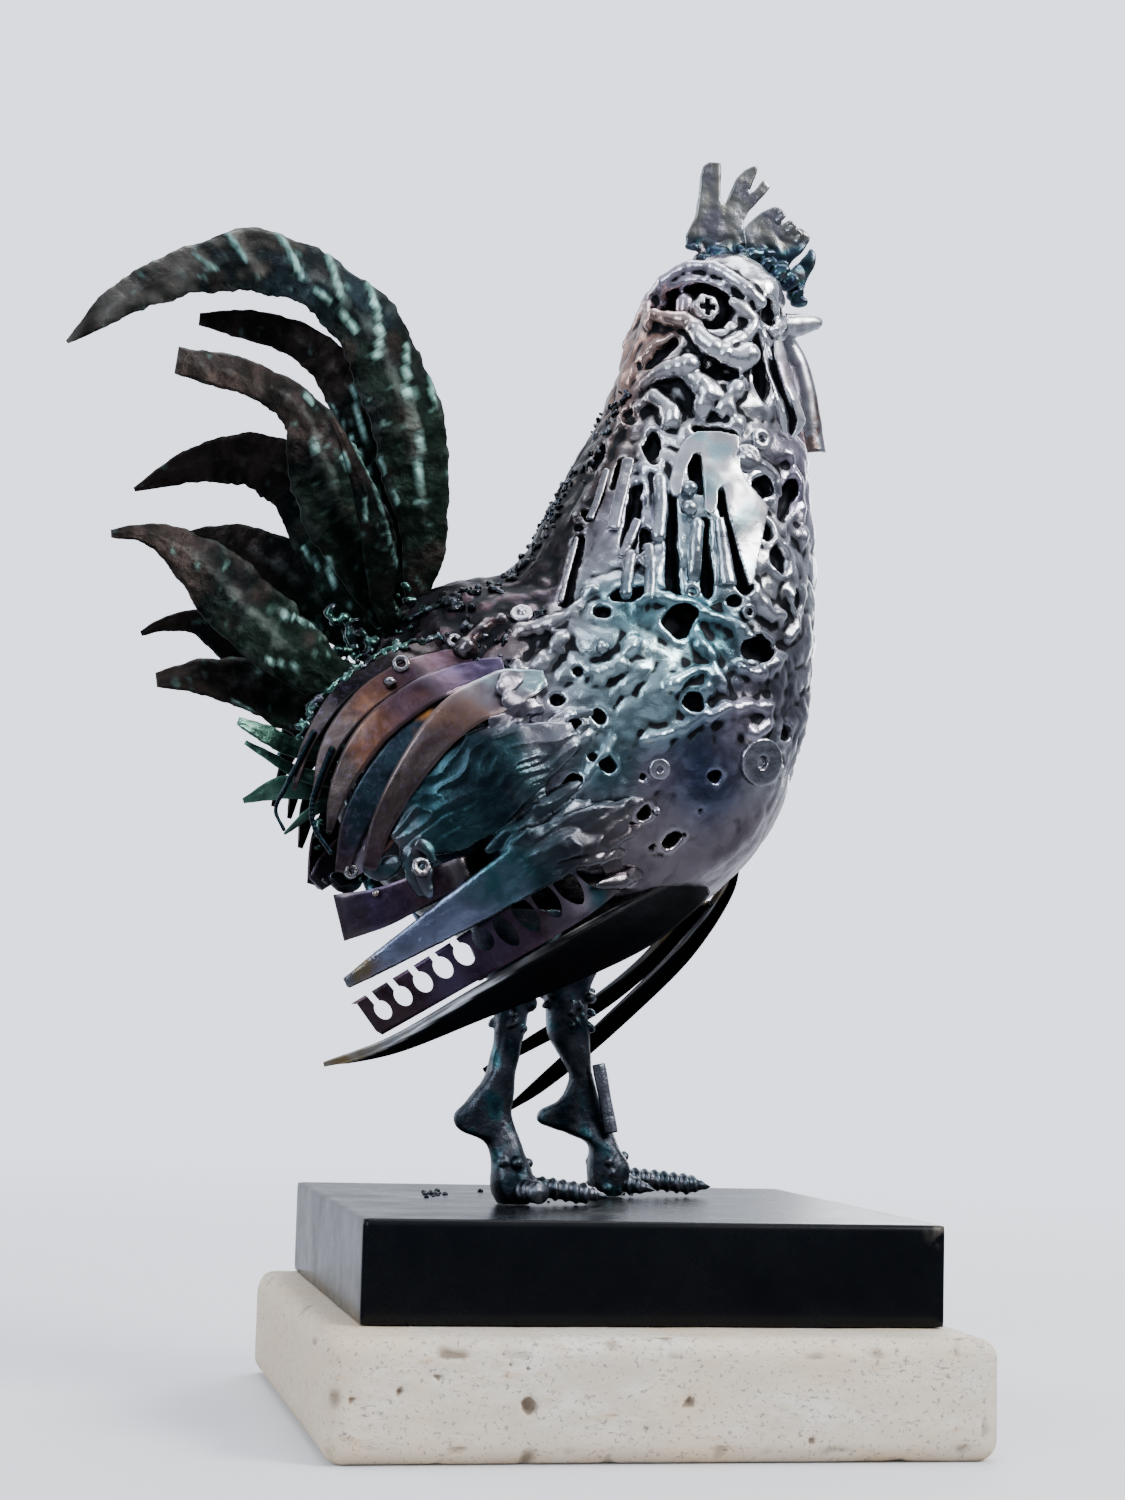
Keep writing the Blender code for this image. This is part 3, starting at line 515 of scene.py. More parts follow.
def makeFloor():        # a round paper floor that pales into the backdrop on all sides
    sides = 96
    turn = 2 * math.pi * np.arange(sides) / sides
    reaches = np.linspace(0.2, 1.0, 6) * studio["floorReach"]
    rings = [np.stack([r * np.cos(turn), r * np.sin(turn), np.zeros(sides)], -1) for r in reaches]
    points = np.vstack([*rings, [[0, 0, 0]]])
    faces = gridFaces(len(rings), sides, wrap=True)
    faces += [[k, (k + 1) % sides, len(points) - 1] for k in range(sides)]
    mesh = bpy.data.meshes.new("floor")
    mesh.from_pydata(points.tolist(), [], faces)
    made, tree, shader = newMaterial("pale_paper", Roughness=0.9)
    shader.inputs["Base Color"].default_value = (*studio["paper"], 1.0)
    glow = addNode(tree, "Emission", {"Color": (*studio["backdrop"], 1.0), "Strength": studio["backdropStrength"]})
    spot = addNode(tree, "TexCoord").outputs["Object"]
    reach = addNode(tree, "VectorMath", {0: spot}, operation="LENGTH").outputs["Value"]
    pale = addNode(tree, "MapRange", {"Value": reach, "From Min": studio["fade"][0], "From Max": studio["fade"][1]})
    pale.interpolation_type = "SMOOTHSTEP"
    both = addNode(tree, "MixShader", {0: pale.outputs[0], 1: shader.outputs[0], 2: glow.outputs[0]})
    tree.links.new(both.outputs[0], tree.nodes["Material Output"].inputs["Surface"])
    mesh.materials.append(made)
    floor = bpy.data.objects.new("floor", mesh)
    bpy.context.scene.collection.objects.link(floor)
    floor.visible_glossy = False


makeCamera()
makeLights()
makeWorld()
makeFloor()
print("studio ready")

# Plinth
stone = {
    "edge": 7.0 * mm,
    "grid": 1.15 * mm,
    "colour": (0.56, 0.49, 0.385),
    "pale": (0.70, 0.65, 0.57),
    "ochre": (0.50, 0.33, 0.17),
    "cream": (0.66, 0.53, 0.37),
    "warm": (0.60, 0.46, 0.31),
    "pores": 90,
    "poreSize": (0.5 * mm, 0.95 * mm),
    "pits": [(530, 1406, 2.6), (437, 1376, 1.4), (400, 1392, 1.6), (352, 1400, 1.3), (690, 1401, 1.8), (812, 1441, 1.3)],
}


def roundedBlock(low, high, edge, step):        # a box with rounded edges and a fine even skin
    low, high = np.array(low), np.array(high)
    inner = (low + edge, high - edge)
    counts = np.maximum(((high - low) / step).astype(int), 2)
    shapes = []
    for axis in range(3):
        first, second = [k for k in range(3) if k != axis]
        for end in (low, high):
            a = np.linspace(low[first], high[first], counts[first] + 1)
            b = np.linspace(low[second], high[second], counts[second] + 1)
            points = np.empty((len(a), len(b), 3))
            points[..., first] = a[:, None]
            points[..., second] = b[None, :]
            points[..., axis] = end[axis]
            faces = gridFaces(len(a), len(b))
            outward = (end is high) != (axis == 1)
            shapes.append((points.reshape(-1, 3), faces if outward else [face[::-1] for face in faces]))
    points, faces = joined(shapes)
    core = np.clip(points, inner[0], inner[1])
    points = core + unitVectors(points - core) * edge
    kept, index = np.unique(np.round(points, 7), axis=0, return_inverse=True)
    index = index.reshape(-1)
    return facingOut((kept, [[int(index[k]) for k in face] for face in faces]))


def makeSlab():
    low, high = (np.array(corner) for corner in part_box("travertine_slab"))
    points, faces = roundedBlock(low, high, stone["edge"], stone["grid"])
    normals = normalsOf((points, faces))
    wave = 0.25 * mm * noiseAt(points, 30 * mm) + 0.10 * mm * noiseAt(points, 6 * mm, 3.1)
    corners = np.sum(np.abs(points - (low + high) / 2) > (high - low) / 2 - stone["edge"], axis=1)
    chips = np.clip(noiseAt(points, 9 * mm, 7.7) - 0.15, 0, 1) * 2.4 * mm * (corners >= 2)
    push = wave - chips
    pores = rng.uniform(low, high, (stone["pores"], 3))
    facing = rng.integers(0, 5, stone["pores"])
    for axis, end, key in ((1, low, 0), (0, low, 1), (1, high, 2), (0, high, 3), (2, high, 4)):
        pores[facing == key, axis] = end[axis]
    spots = [(pore, rng.uniform(*stone["poreSize"])) for pore in pores]
    for px, py, radius in stone["pits"]:
        ray = lookAlong * view["focal"] + lookRight * (px - view["width"] / 2) - lookUp * (py - view["height"] / 2)
        reach = (low[1] - view["place"][1]) / ray[1]
        spots.append((np.array(view["place"]) + ray * reach, radius * mm))
    for spot, radius in spots:
        near = np.flatnonzero(np.abs(points - spot).max(axis=1) < 2 * radius)
        away = np.linalg.norm(points[near] - spot, axis=1) / radius
        away = away * (1 + 0.9 * noiseAt(points[near], 1.5 * radius, 5.5))
        push[near] -= 1.3 * radius * np.clip(1 - away**2, 0, 1)
    points = points + normals * push[:, None]
    depth = np.clip(-push / (0.8 * mm), 0, 1)
    made, tree, shader = newMaterial("travertine_stone", Roughness=0.7)
    spot = addNode(tree, "TexCoord").outputs["Object"]
    layers = addNode(tree, "Mapping", {"Vector": spot, "Scale": (1.0, 1.0, 2.6)}).outputs[0]
    clouds = addNode(tree, "TexNoise", {"Vector": layers, "Scale": 34.0, "Detail": 7.0, "Roughness": 0.62})
    veins = addNode(tree, "TexNoise", {"Vector": layers, "Scale": 130.0, "Detail": 8.0, "Roughness": 0.7})
    specks = addNode(tree, "TexNoise", {"Vector": spot, "Scale": 620.0, "Detail": 3.0, "Roughness": 0.6})
    colour = mixed(tree, ranged(tree, clouds.outputs[0], 0.38, 0.62), (*stone["colour"], 1), (*stone["pale"], 1))
    height = addNode(tree, "SeparateXYZ", {0: spot}).outputs[2]
    foot = ranged(tree, height, 0.012, 0.0, 0.0, 0.9)
    veined = ranged(tree, veins.outputs[0], 0.5, 0.68, 0.0, 0.75)
    stains = addNode(tree, "Math", {0: veined, 1: foot}, operation="MAXIMUM").outputs[0]
    clouded = ranged(tree, clouds.outputs[0], 0.35, 0.6)
    stained = addNode(tree, "Math", {0: stains, 1: clouded}, operation="MULTIPLY")
    colour = mixed(tree, stained.outputs[0], colour, (*stone["ochre"], 1))
    creams = addNode(tree, "TexNoise", {"Vector": spot, "Scale": 17.0, "Detail": 4.0, "Distortion": 0.8})
    colour = mixed(tree, ranged(tree, creams.outputs[0], 0.46, 0.62, 0.0, 0.7), colour, (*stone["cream"], 1))
    across = addNode(tree, "SeparateXYZ", {0: spot}).outputs[0]
    warm = ranged(tree, across, float(low[0]) + 0.026, float(low[0]), 0.0, 0.55)
    colour = mixed(tree, warm, colour, (*stone["warm"], 1))
    pocks = addNode(tree, "TexNoise", {"Vector": layers, "Scale": 300.0, "Detail": 6.0, "Roughness": 0.75})
    porous = ranged(tree, clouds.outputs[0], 0.45, 0.6)
    pocked = ranged(tree, pocks.outputs[0], 0.57, 0.62, 0.0, 0.85)
    holes = addNode(tree, "Math", {0: pocked, 1: porous}, operation="MULTIPLY")
    colour = mixed(tree, holes.outputs[0], colour, (0.17, 0.14, 0.12, 1))
    colour = mixed(tree, ranged(tree, specks.outputs[0], 0.59, 0.66, 0.0, 0.75), colour, (0.22, 0.19, 0.17, 1))
    pit = addNode(tree, "Attribute", attribute_name="hollow").outputs["Fac"]
    colour = mixed(tree, ranged(tree, pit, 0.25, 0.9, 0.0, 0.85), colour, (0.16, 0.11, 0.07, 1))
    tree.links.new(colour, shader.inputs["Base Color"])
    bump = addNode(tree, "Bump", {"Strength": 0.35, "Distance": 0.0004, "Height": veins.outputs[0]})
    tree.links.new(bump.outputs[0], shader.inputs["Normal"])
    newPiece("travertine", (points, faces), made, ["travertine_slab"], stone["colour"], depth)


lacquer = {
    "edge": 0.9 * mm,
    "grid": 2.2 * mm,
    "colour": (0.0015, 0.002, 0.003),
    "wornWood": (0.16, 0.14, 0.12),
    "crumbs": 26,
    "crumbSize": (0.5 * mm, 1.3 * mm),
}


def makeBlock():
    low, high = (np.array(corner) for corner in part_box("black_block"))
    points, faces = roundedBlock(low, high, lacquer["edge"], lacquer["grid"])
    corner = np.linalg.norm(points - np.array((high[0], low[1], high[2])), axis=1)
    worn = np.clip(1 - corner / (9 * mm), 0, 1)
    made, tree, shader = newMaterial(
        "black_lacquer_paint", Coat_Weight=0.02, Coat_Roughness=0.2, Specular_IOR_Level=0.14)
    spot = addNode(tree, "TexCoord").outputs["Object"]
    brushed = addNode(tree, "Mapping", {"Vector": spot, "Scale": (0.25, 1.0, 1.0)}).outputs[0]
    cloth = addNode(tree, "TexNoise", {"Vector": brushed, "Scale": 240.0, "Detail": 6.0, "Roughness": 0.7})
    scuffs = addNode(tree, "TexNoise", {"Vector": spot, "Scale": 26.0, "Detail": 8.0, "Roughness": 0.75})
    wear = addNode(tree, "Attribute", attribute_name="hollow").outputs["Fac"]
    chipped = addNode(tree, "Math", {0: ranged(tree, scuffs.outputs[0], 0.45, 0.6), 1: wear}, operation="MULTIPLY")
    scuffed = ranged(tree, scuffs.outputs[0], 0.4, 0.7, 0.0, 0.35)
    black = mixed(tree, scuffed, (*lacquer["colour"], 1), (0.004, 0.005, 0.007, 1))
    tree.links.new(mixed(tree, chipped.outputs[0], black, (*lacquer["wornWood"], 1)), shader.inputs["Base Color"])
    tree.links.new(ranged(tree, scuffs.outputs[0], 0.35, 0.7, 0.18, 0.34), shader.inputs["Roughness"])
    bump = addNode(tree, "Bump", {"Strength": 0.12, "Distance": 0.0002, "Height": cloth.outputs[0]})
    tree.links.new(bump.outputs[0], shader.inputs["Normal"])
    newPiece("lacquered_block", (points, faces), made, ["black_block"], lacquer["colour"], worn)


def makeCrumbs():        # spatter that fell on the block behind the feet
    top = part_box("black_block")[1].z
    shapes = []
    for k in range(lacquer["crumbs"]):
        px, py = (rng.choice((424, 436, 441)), 1194) if k % 3 else (rng.uniform(470, 640), rng.uniform(1188, 1204))
        ray = np.array(pixelRay(px + rng.normal() * 4, py + rng.normal() * 1.5))
        spot = np.array(view["place"]) + ray * (top - view["place"][2]) / ray[2]
        size = rng.uniform(*lacquer["crumbSize"])
        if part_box("black_block")[0].x < spot[0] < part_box("black_block")[1].x and abs(spot[1]) < 0.09:
            radii = (size, size * rng.uniform(0.6, 1), 0.7 * size)
            shapes.append(blob(spot + (0, 0, 0.3 * size), radii, 6, 9, (0, 0, 1)))
    shape = joined(shapes)
    tint = 0.4 * np.array(paint["slate"])
    newPiece("weld_spatter", shape, ironMetal, (), tint, np.zeros(len(shape[0])))


makeSlab()
makeBlock()
print("plinth made")


def pixelRay(px, py):
    along = lookAlong * view["focal"] + lookRight * (px - view["width"] / 2) - lookUp * (py - view["height"] / 2)
    return Vector(unitVectors(along))


def treeOf(shape):
    return BVHTree.FromPolygons(shape[0].tolist(), shape[1])


def onPlane(px, py, depth=0.0):        # the world point behind a pixel, at a distance from the centre plane
    ray = np.array(pixelRay(px, py))
    start = np.array(view["place"])
    return start + ray * (middleY + depth - start[1]) / ray[1]


def pictureOf(points):        # the pixel at which the camera sees each point
    away = points - np.array(view["place"])
    depth = away @ lookAlong
    px = view["width"] / 2 + view["focal"] * (away @ lookRight) / depth
    py = view["height"] / 2 - view["focal"] * (away @ lookUp) / depth
    return np.stack([px, py], -1)


def strokesOn(points, strokes):        # 1 on the strokes, which run along pixels with a half width, and 0 away from them
    seen = pictureOf(points)
    cover = np.zeros(len(points))
    for path, half in strokes:
        for start, end in zip(path[:-1], path[1:]):
            start, way = np.array(start, float), np.array(end, float) - start
            share = np.clip((seen - start) @ way / (way @ way), 0, 1)
            away = np.linalg.norm(seen - start - share[:, None] * way, axis=1)
            away = away * (1.1 + 0.5 * noiseAt(points, 5 * mm, half) + 0.5 * noiseAt(points, 2 * mm, half))
            cover = np.maximum(cover, np.clip(1.4 - 1.25 * away / half, 0, 1))
    return cover


# Sheet metal: leaves cut along a centreline and laid on the wing, or fanned out in the tail
sheets = {
    "wing": 1.2 * mm,
    "tail": 1.1 * mm,
    "layerGap": 0.9 * mm,
    "lanes": 17,
    "step": 1.1,          # drawn units between the points along a leaf
    "bevel": 0.10,        # share of the width that thins towards the edge
}
layerPitch = (1.4 * sheets["wing"] + sheets["layerGap"]) / unit


def wingSurface(x, z):        # distance of the wings' innermost sheet from the centre plane
    behind = np.maximum(-20 - x, 0)
    above = np.maximum(z - 150, 0)
    below = np.maximum(155 - z, 0)
    return 58.5 - 0.0022 * behind**2 - 0.0055 * above**2 - 0.0012 * below**2


bodyShell = treeOf(shapeOf(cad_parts["body"].data))


def skinOut(x, z):        # distance of the body's skin from the centre plane
    out = np.array(wingSurface(x, z))
    flat, spots = out.reshape(-1), place(x, 0, z).reshape(-1, 3)
    for k, spot in enumerate(spots):
        hit = bodyShell.ray_cast(Vector((spot[0], middleY - 0.2, spot[2])), Vector((0, 1, 0)))[0]
        if hit is not None and hit.y < middleY:
            flat[k] = min((middleY - hit.y) / unit, flat[k])
    return flat.reshape(out.shape)


def rooted(rows, share=0.34, bury=2.6):        # a sheet that leaves the skin at its root, which is its forward end
    ends = sorted((rows[0][:2], rows[-1][:2]), reverse=True)
    root, way = np.array(ends[0], float), np.array(ends[1], float) - ends[0]

    def surface(x, z):
        free = np.clip(((x - root[0]) * way[0] + (z - root[1]) * way[1]) / (way @ way) / share, 0, 1)
        free = free * free * (3 - 2 * free)
        return free * wingSurface(x, z) + (1 - free) * (skinOut(x, z) - bury)

    return surface


def flatSurface(x, z):
    return np.zeros_like(x)


def leaf(rows, thick, side=-1, surface=flatSurface, crown=0.0, tilt=0.0, ragged=0.0, relief=None, seed=0.0):
    length = np.linalg.norm(np.diff(np.array(rows, float)[:, :2], axis=0), axis=1).sum()
    count = max(int(length / sheets["step"]), 12)
    x, z, width, out = smoothRows(rows, count).T
    width = np.maximum(width, 1.2)
    ahead = unitVectors(np.gradient(np.stack([x, z], -1), axis=0))
    lane = np.sin(np.linspace(-1, 1, sheets["lanes"]) * math.pi / 2) / 2
    along = np.linspace(0, 1, count)
    torn = np.ones((count, len(lane)))
    if ragged:
        for end, lanes in ((-1, lane < 0), (1, lane > 0)):
            walk = np.stack([along * length, np.full(count, 40.0 * end), np.full(count, 10 * seed)], -1)
            tear = noiseAt(walk, 11) + 0.6 * noiseAt(walk, 4.3) + 0.3 * noiseAt(walk, 1.9)
            torn[:, lanes] += ragged * tear[:, None] * np.abs(2 * lane[lanes])[None, :]
    spread = lane[None, :] * width[:, None] * torn
    px = x[:, None] - ahead[:, 1:] * spread
    pz = z[:, None] + ahead[:, :1] * spread
    opened = np.minimum(1, 3 * along)[:, None]
    bulge = opened * width[:, None] * (crown * (1 - np.abs(2 * lane))[None, :] + tilt * lane[None, :])
    middle = place(px, side * (surface(px, pz) + out[:, None] + bulge), pz)
    facing = unitVectors(np.cross(np.gradient(middle, axis=0), np.gradient(middle, axis=1)))
    facing *= np.sign(facing[..., 1:2].mean() * side)
    thin = np.clip((1 - np.abs(2 * lane)) / sheets["bevel"], 0.3, 1)[None, :]
    thin = thin * np.clip((1 - along) * count / 3, 0.3, 1)[:, None]
    lift = relief(along[:, None], 2 * lane[None, :], middle) if relief else np.zeros(thin.shape)
    half = (thick / 2 * thin + lift)[..., None]
    back = (thick / 2 * thin - 0.7 * lift)[..., None]
    points = np.concatenate([(middle + facing * half).reshape(-1, 3), (middle - facing * back).reshape(-1, 3)])
    lanes = len(lane)
    size = count * lanes
    faces = gridFaces(count, lanes) + [face[::-1] for face in gridFaces(count, lanes, start=size)]
    border = [k for k in range(lanes)]
    border += [i * lanes + lanes - 1 for i in range(1, count)]
    border += [(count - 1) * lanes + k for k in range(lanes - 2, -1, -1)]
    border += [i * lanes for i in range(count - 2, 0, -1)]
    for a, b in zip(border, border[1:] + border[:1]):
        faces.append([b, a, a + size, b + size])
    return facingOut((points, faces))


def alongLine(points, rows):        # 0 at the root and 1 at the tip of a leaf, for points in the world
    root, tip = (place(row[0], 0, row[1]) for row in (rows[0], rows[-1]))
    way = (tip - root) * (1, 0, 1)
    return np.clip((points - root) @ way / (way @ way), 0, 1)


def tinted(points, rows, stops, swirl=0.10, size=14 * mm, seed=0.0):
    amount = alongLine(points, rows) + swirl * 2 * noiseAt(points, size, seed) + swirl * noiseAt(points, size / 3, seed)
    return blended(stops, np.clip(amount, 0, 1))


sheetMetal = metalMaterial("heat_tinted_sheet", {
    **plainLook, "patches": 70, "dull": (0.45, 0.42, 0.45), "film": 0.30, "filmTint": paint["violet"],
    "rough": (0.22, 0.45), "bright": (0.50, 0.48, 0.50), "worn": 0.45, "bump": 0.25,
})
tailMetal = metalMaterial("patina_sheet", {
    **plainLook, "patches": 90, "grain": 520, "dull": (0.45, 0.48, 0.46), "film": 0.25, "filmTint": (0.012, 0.028, 0.024),
    "rough": (0.30, 0.55), "bright": (0.15, 0.18, 0.17), "worn": 0.5, "wearSheenFrom": 0.3, "bump": 0.6, "bumpDepth": 0.0006,
    "sootShadeColour": (0.008, 0.012, 0.011),
})
bladeMetal = metalMaterial("black_scale", {
    **plainLook, "patches": 60, "dull": (0.6, 0.6, 0.6), "film": 0.0, "rough": (0.34, 0.5), "bump": 0.2,
    "bright": (0.1, 0.1, 0.11), "worn": 0.1,
})
ironMetal = metalMaterial("blued_forging", {
    **plainLook, "patches": 120, "grain": 600, "dull": (0.4, 0.45, 0.5), "film": 0.4, "filmTint": (0.03, 0.10, 0.12),
    "rough": (0.2, 0.42), "bright": (0.30, 0.36, 0.40), "worn": 0.5, "bump": 0.6, "bumpDepth": 0.0005,
})
castMetal = metalMaterial("molten_weld", {
    **plainLook, "patches": 65, "grain": 380, "dents": 210, "film": 0.3, "filmTint": (0.16, 0.20, 0.26),
    "rough": (0.11, 0.30), "bright": (0.66, 0.68, 0.72), "worn": 0.55, "bump": 0.4, "bumpDepth": 0.0005,
    "sootShadeFrom": 0.07, "sootShadeTo": 0.42, "wearSheenFrom": 0.12, "wearSheenTo": 0.6,
})
flowMetal = metalMaterial("heat_tinted_flow", {
    **plainLook, "patches": 70, "grain": 380, "dull": (0.5, 0.5, 0.52), "film": 0.25, "filmTint": (0.05, 0.11, 0.14),
    "rough": (0.2, 0.4), "bright": (0.34, 0.42, 0.46), "worn": 0.5, "bump": 0.35,
})
scrapMetal = metalMaterial("bare_scrap", {
    **plainLook, "rough": (0.2, 0.38), "bright": (0.75, 0.75, 0.77), "film": 0.2, "bump": 0.3,
})

# Tail: offset from the centre plane at the root, then x, z and width along each feather
tail = {
    "splay": 1.3,
    "tilt": 0.35,
    "ragged": 0.2,
    "dark": 0.27,
    # pale weld streaks, raised and painted pale: the pixels that they run along and their half width in pixels; the
    # thin ones from (341, 312) and (333, 406) are also a painted highlight along the right rim of feather 3
    "strokes": [
        ([(225, 231), (237, 246), (247, 262)], 3.2), ([(278, 233), (292, 255), (302, 278)], 3.8),
        ([(306, 280), (330, 302)], 2.0),
        ([(329, 257), (336, 280), (343, 299)], 3.6), ([(369, 283), (377, 310), (380, 340), (376, 361)], 3.4),
        ([(406, 345), (408, 404), (420, 441), (419, 503)], 3.0), ([(430, 371), (435, 409)], 3.2),
        ([(353, 385), (364, 441)], 2.6),
        ([(379, 457), (397, 503)], 1.6), ([(341, 312), (365, 339)], 1.8),
        ([(333, 406), (352, 441), (373, 481), (388, 532), (399, 570)], 2.0),
        ([(306, 395), (312, 402)], 3.0), ([(344, 455), (349, 468)], 3.2), ([(310, 440), (316, 452)], 2.6),
        ([(329, 512), (335, 522)], 2.6),
        ([(365, 500), (366, 520)], 2.6), ([(303, 548), (318, 568)], 3.4), ([(329, 560), (334, 585)], 3.6),
        ([(232, 700), (250, 709)], 2.0),
        ([(262, 660), (300, 668)], 2.4), ([(275, 610), (320, 628)], 2.0), ([(195, 254), (214, 268)], 2.0),
        ([(215, 268), (200, 276)], 2.4),
    ],
    "crown": 0.05,
    "tints": {
        "sickle": [(0, "moss"), (0.35, "moss"), (0.5, "tar"), (0.72, "blueBlack"), (0.82, "tar"), (0.92, "bark"), (1, "bark")],
        "others": [(0, "moss"), (0.4, "moss"), (0.6, "tar"), (0.85, "umber"), (1, "umber")],
        "small": [(0, "tar"), (0.3, "moss"), (0.6, "verdigris"), (0.8, "patina"), (1, "patina")],
    },
    "small": ("tail_feather_9", "tail_feather_10", "tail_feather_11", "tail_feather_12"),
    "feathers": {
        "tail_sickle": (-3.0, [
            (-64, 205, 8), (-70, 223, 10), (-69, 248, 19), (-74, 278, 28.5), (-82, 303, 30.4),
            (-94, 325, 28.4), (-112, 340, 24.5), (-135, 346, 26.2), (-157, 341, 20.4),
            (-175, 333, 16.5), (-189, 323, 11.7), (-204, 309, 1.4),
        ]),
        "tail_feather_2": (6.0, [
            (-70, 205, 8), (-78, 223, 9.6), (-85, 261, 17.2), (-92, 288, 17.2), (-101, 308, 17.2),
            (-117, 321, 13.3), (-136, 326, 11.3), (-155, 327, 4.5),
        ]),
        "tail_feather_3": (-10.5, [
            (-74, 202, 11), (-87, 219, 13), (-100, 245, 27.9), (-108, 267, 27.9), (-118, 287, 18.5),
            (-133, 296, 14), (-150, 299, 13.9), (-165, 301, 11.7),
        ]),
        "tail_feather_4": (1.6, [
            (-78, 202, 12), (-95, 218, 15.1), (-107, 244, 20.7), (-119, 266, 22.6),
            (-138, 272, 18.7), (-157, 268, 11.9), (-177, 258, 1.5),
        ]),
        "tail_feather_5": (10.5, [
            (-76, 200, 12), (-94, 211, 15.2), (-113, 229, 22.7), (-131, 240, 18.8),
            (-146, 244, 11.2), (-156, 246, 2.2),
        ]),
        "tail_feather_6": (-15.2, [
            (-84, 182, 15), (-104, 188, 18.4), (-122, 200, 27.5), (-141, 216, 27.3),
            (-156, 228, 19.9), (-171, 235, 9), (-186, 234, 2.9),
        ]),
        "tail_feather_7": (4.0, [
            (-86, 180, 12), (-112, 187, 15), (-134, 201, 16.7), (-151, 210, 9.2), (-163, 209, 5.2),
            (-172, 205, 1.8),
        ]),
        "tail_feather_8": (-6.5, [(-84, 174, 18), (-106, 176, 22.3), (-128, 184, 22.1), (-149, 187, 13.9), (-167, 185, 5.4)]),
        "tail_feather_9": (-12.6, [(-90, 162, 7), (-114, 162, 7.3), (-127, 166, 7.3), (-138, 170, 2.9)]),
        "tail_feather_10": (-0.8, [(-90, 152, 7), (-110, 154, 5.2), (-123, 160, 3.7), (-133, 165, 1.5)]),
        "tail_feather_11": (8.2, [(-88, 152, 9), (-107, 151, 9), (-119, 150, 8.2), (-131, 145, 2.2)]),
        "tail_feather_12": (12.8, [(-88, 152, 6), (-104, 143, 4), (-114, 134, 1.2)]),
        "tail_leaf": (-12.8, [(-78, 205, 6), (-86, 219, 9), (-88, 240, 14), (-95, 258, 9), (-108, 283, 2)]),
    },
}


def makeTail():
    for number, (name, (offset, rows)) in enumerate(tail["feathers"].items()):
        last = len(rows) - 1
        spread = [(x, z, width, -offset * (1 + tail["splay"] * i / last)) for i, (x, z, width) in enumerate(rows)]
        seed = 3.7 * number

        def relief(along, lane, middle):
            rib = np.exp(-((lane - 0.25 * noiseAt(middle, 30 * mm, seed)) / 0.12) ** 2)
            folds = noiseAt(middle * (0.6, 1, 0.6), 14 * mm, seed) + 0.6 * noiseAt(middle, 6 * mm, seed)
            crust = np.abs(noiseAt(middle, 2.6 * mm, seed))
            weld = strokesOn(middle.reshape(-1, 3), tail["strokes"]).reshape(rib.shape)
            return 0.15 * mm * rib + 1.1 * mm * folds + 0.5 * mm * crust + 0.7 * mm * weld

        shape = leaf(spread, sheets["tail"], crown=tail["crown"], tilt=-math.copysign(tail["tilt"], offset),
                     ragged=tail["ragged"], relief=relief, seed=seed)
        points = shape[0]
        kind = "sickle" if name == "tail_sickle" else "small" if name in tail["small"] else "others"
        stops = tail["tints"][kind]
        colours = tinted(points, rows, stops, 0.16, 20 * mm, seed)
        rusty = np.clip(3 * noiseAt(points, 12 * mm, 8 + seed) - 0.4, 0, 0.8)[:, None]
        colours = colours * (1 - rusty) + rusty * np.array(paint["umber"]) * 0.7
        # weld streaks and crusts are painted pale; along feather 3's right rim the pale streak is a painted highlight
        streak = strokesOn(points, tail["strokes"]) * np.clip(0.9 + 1.6 * noiseAt(points, 2.4 * mm, seed), 0, 1)
        near = np.clip(1 - np.linalg.norm(points - place(-76, 0, 200), axis=1) / (75 * mm), 0, 1)
        crusty = np.clip(6 * noiseAt(points, 4.0 * mm, 5 + seed) - 2.0 + 0.8 * near, 0, 1)
        pale = np.clip(0.85 * streak + 0.25 * crusty, 0, 1)[:, None]
        colours = tail["dark"] * colours * (1 - pale) + pale * (
            0.55 * np.array(paint["verdigris"]) + 0.3 * np.array(paint["ice"]))
        newPiece(name + "_sheet", shape, tailMetal, [name], colours)


makeTail()
print("tail made")

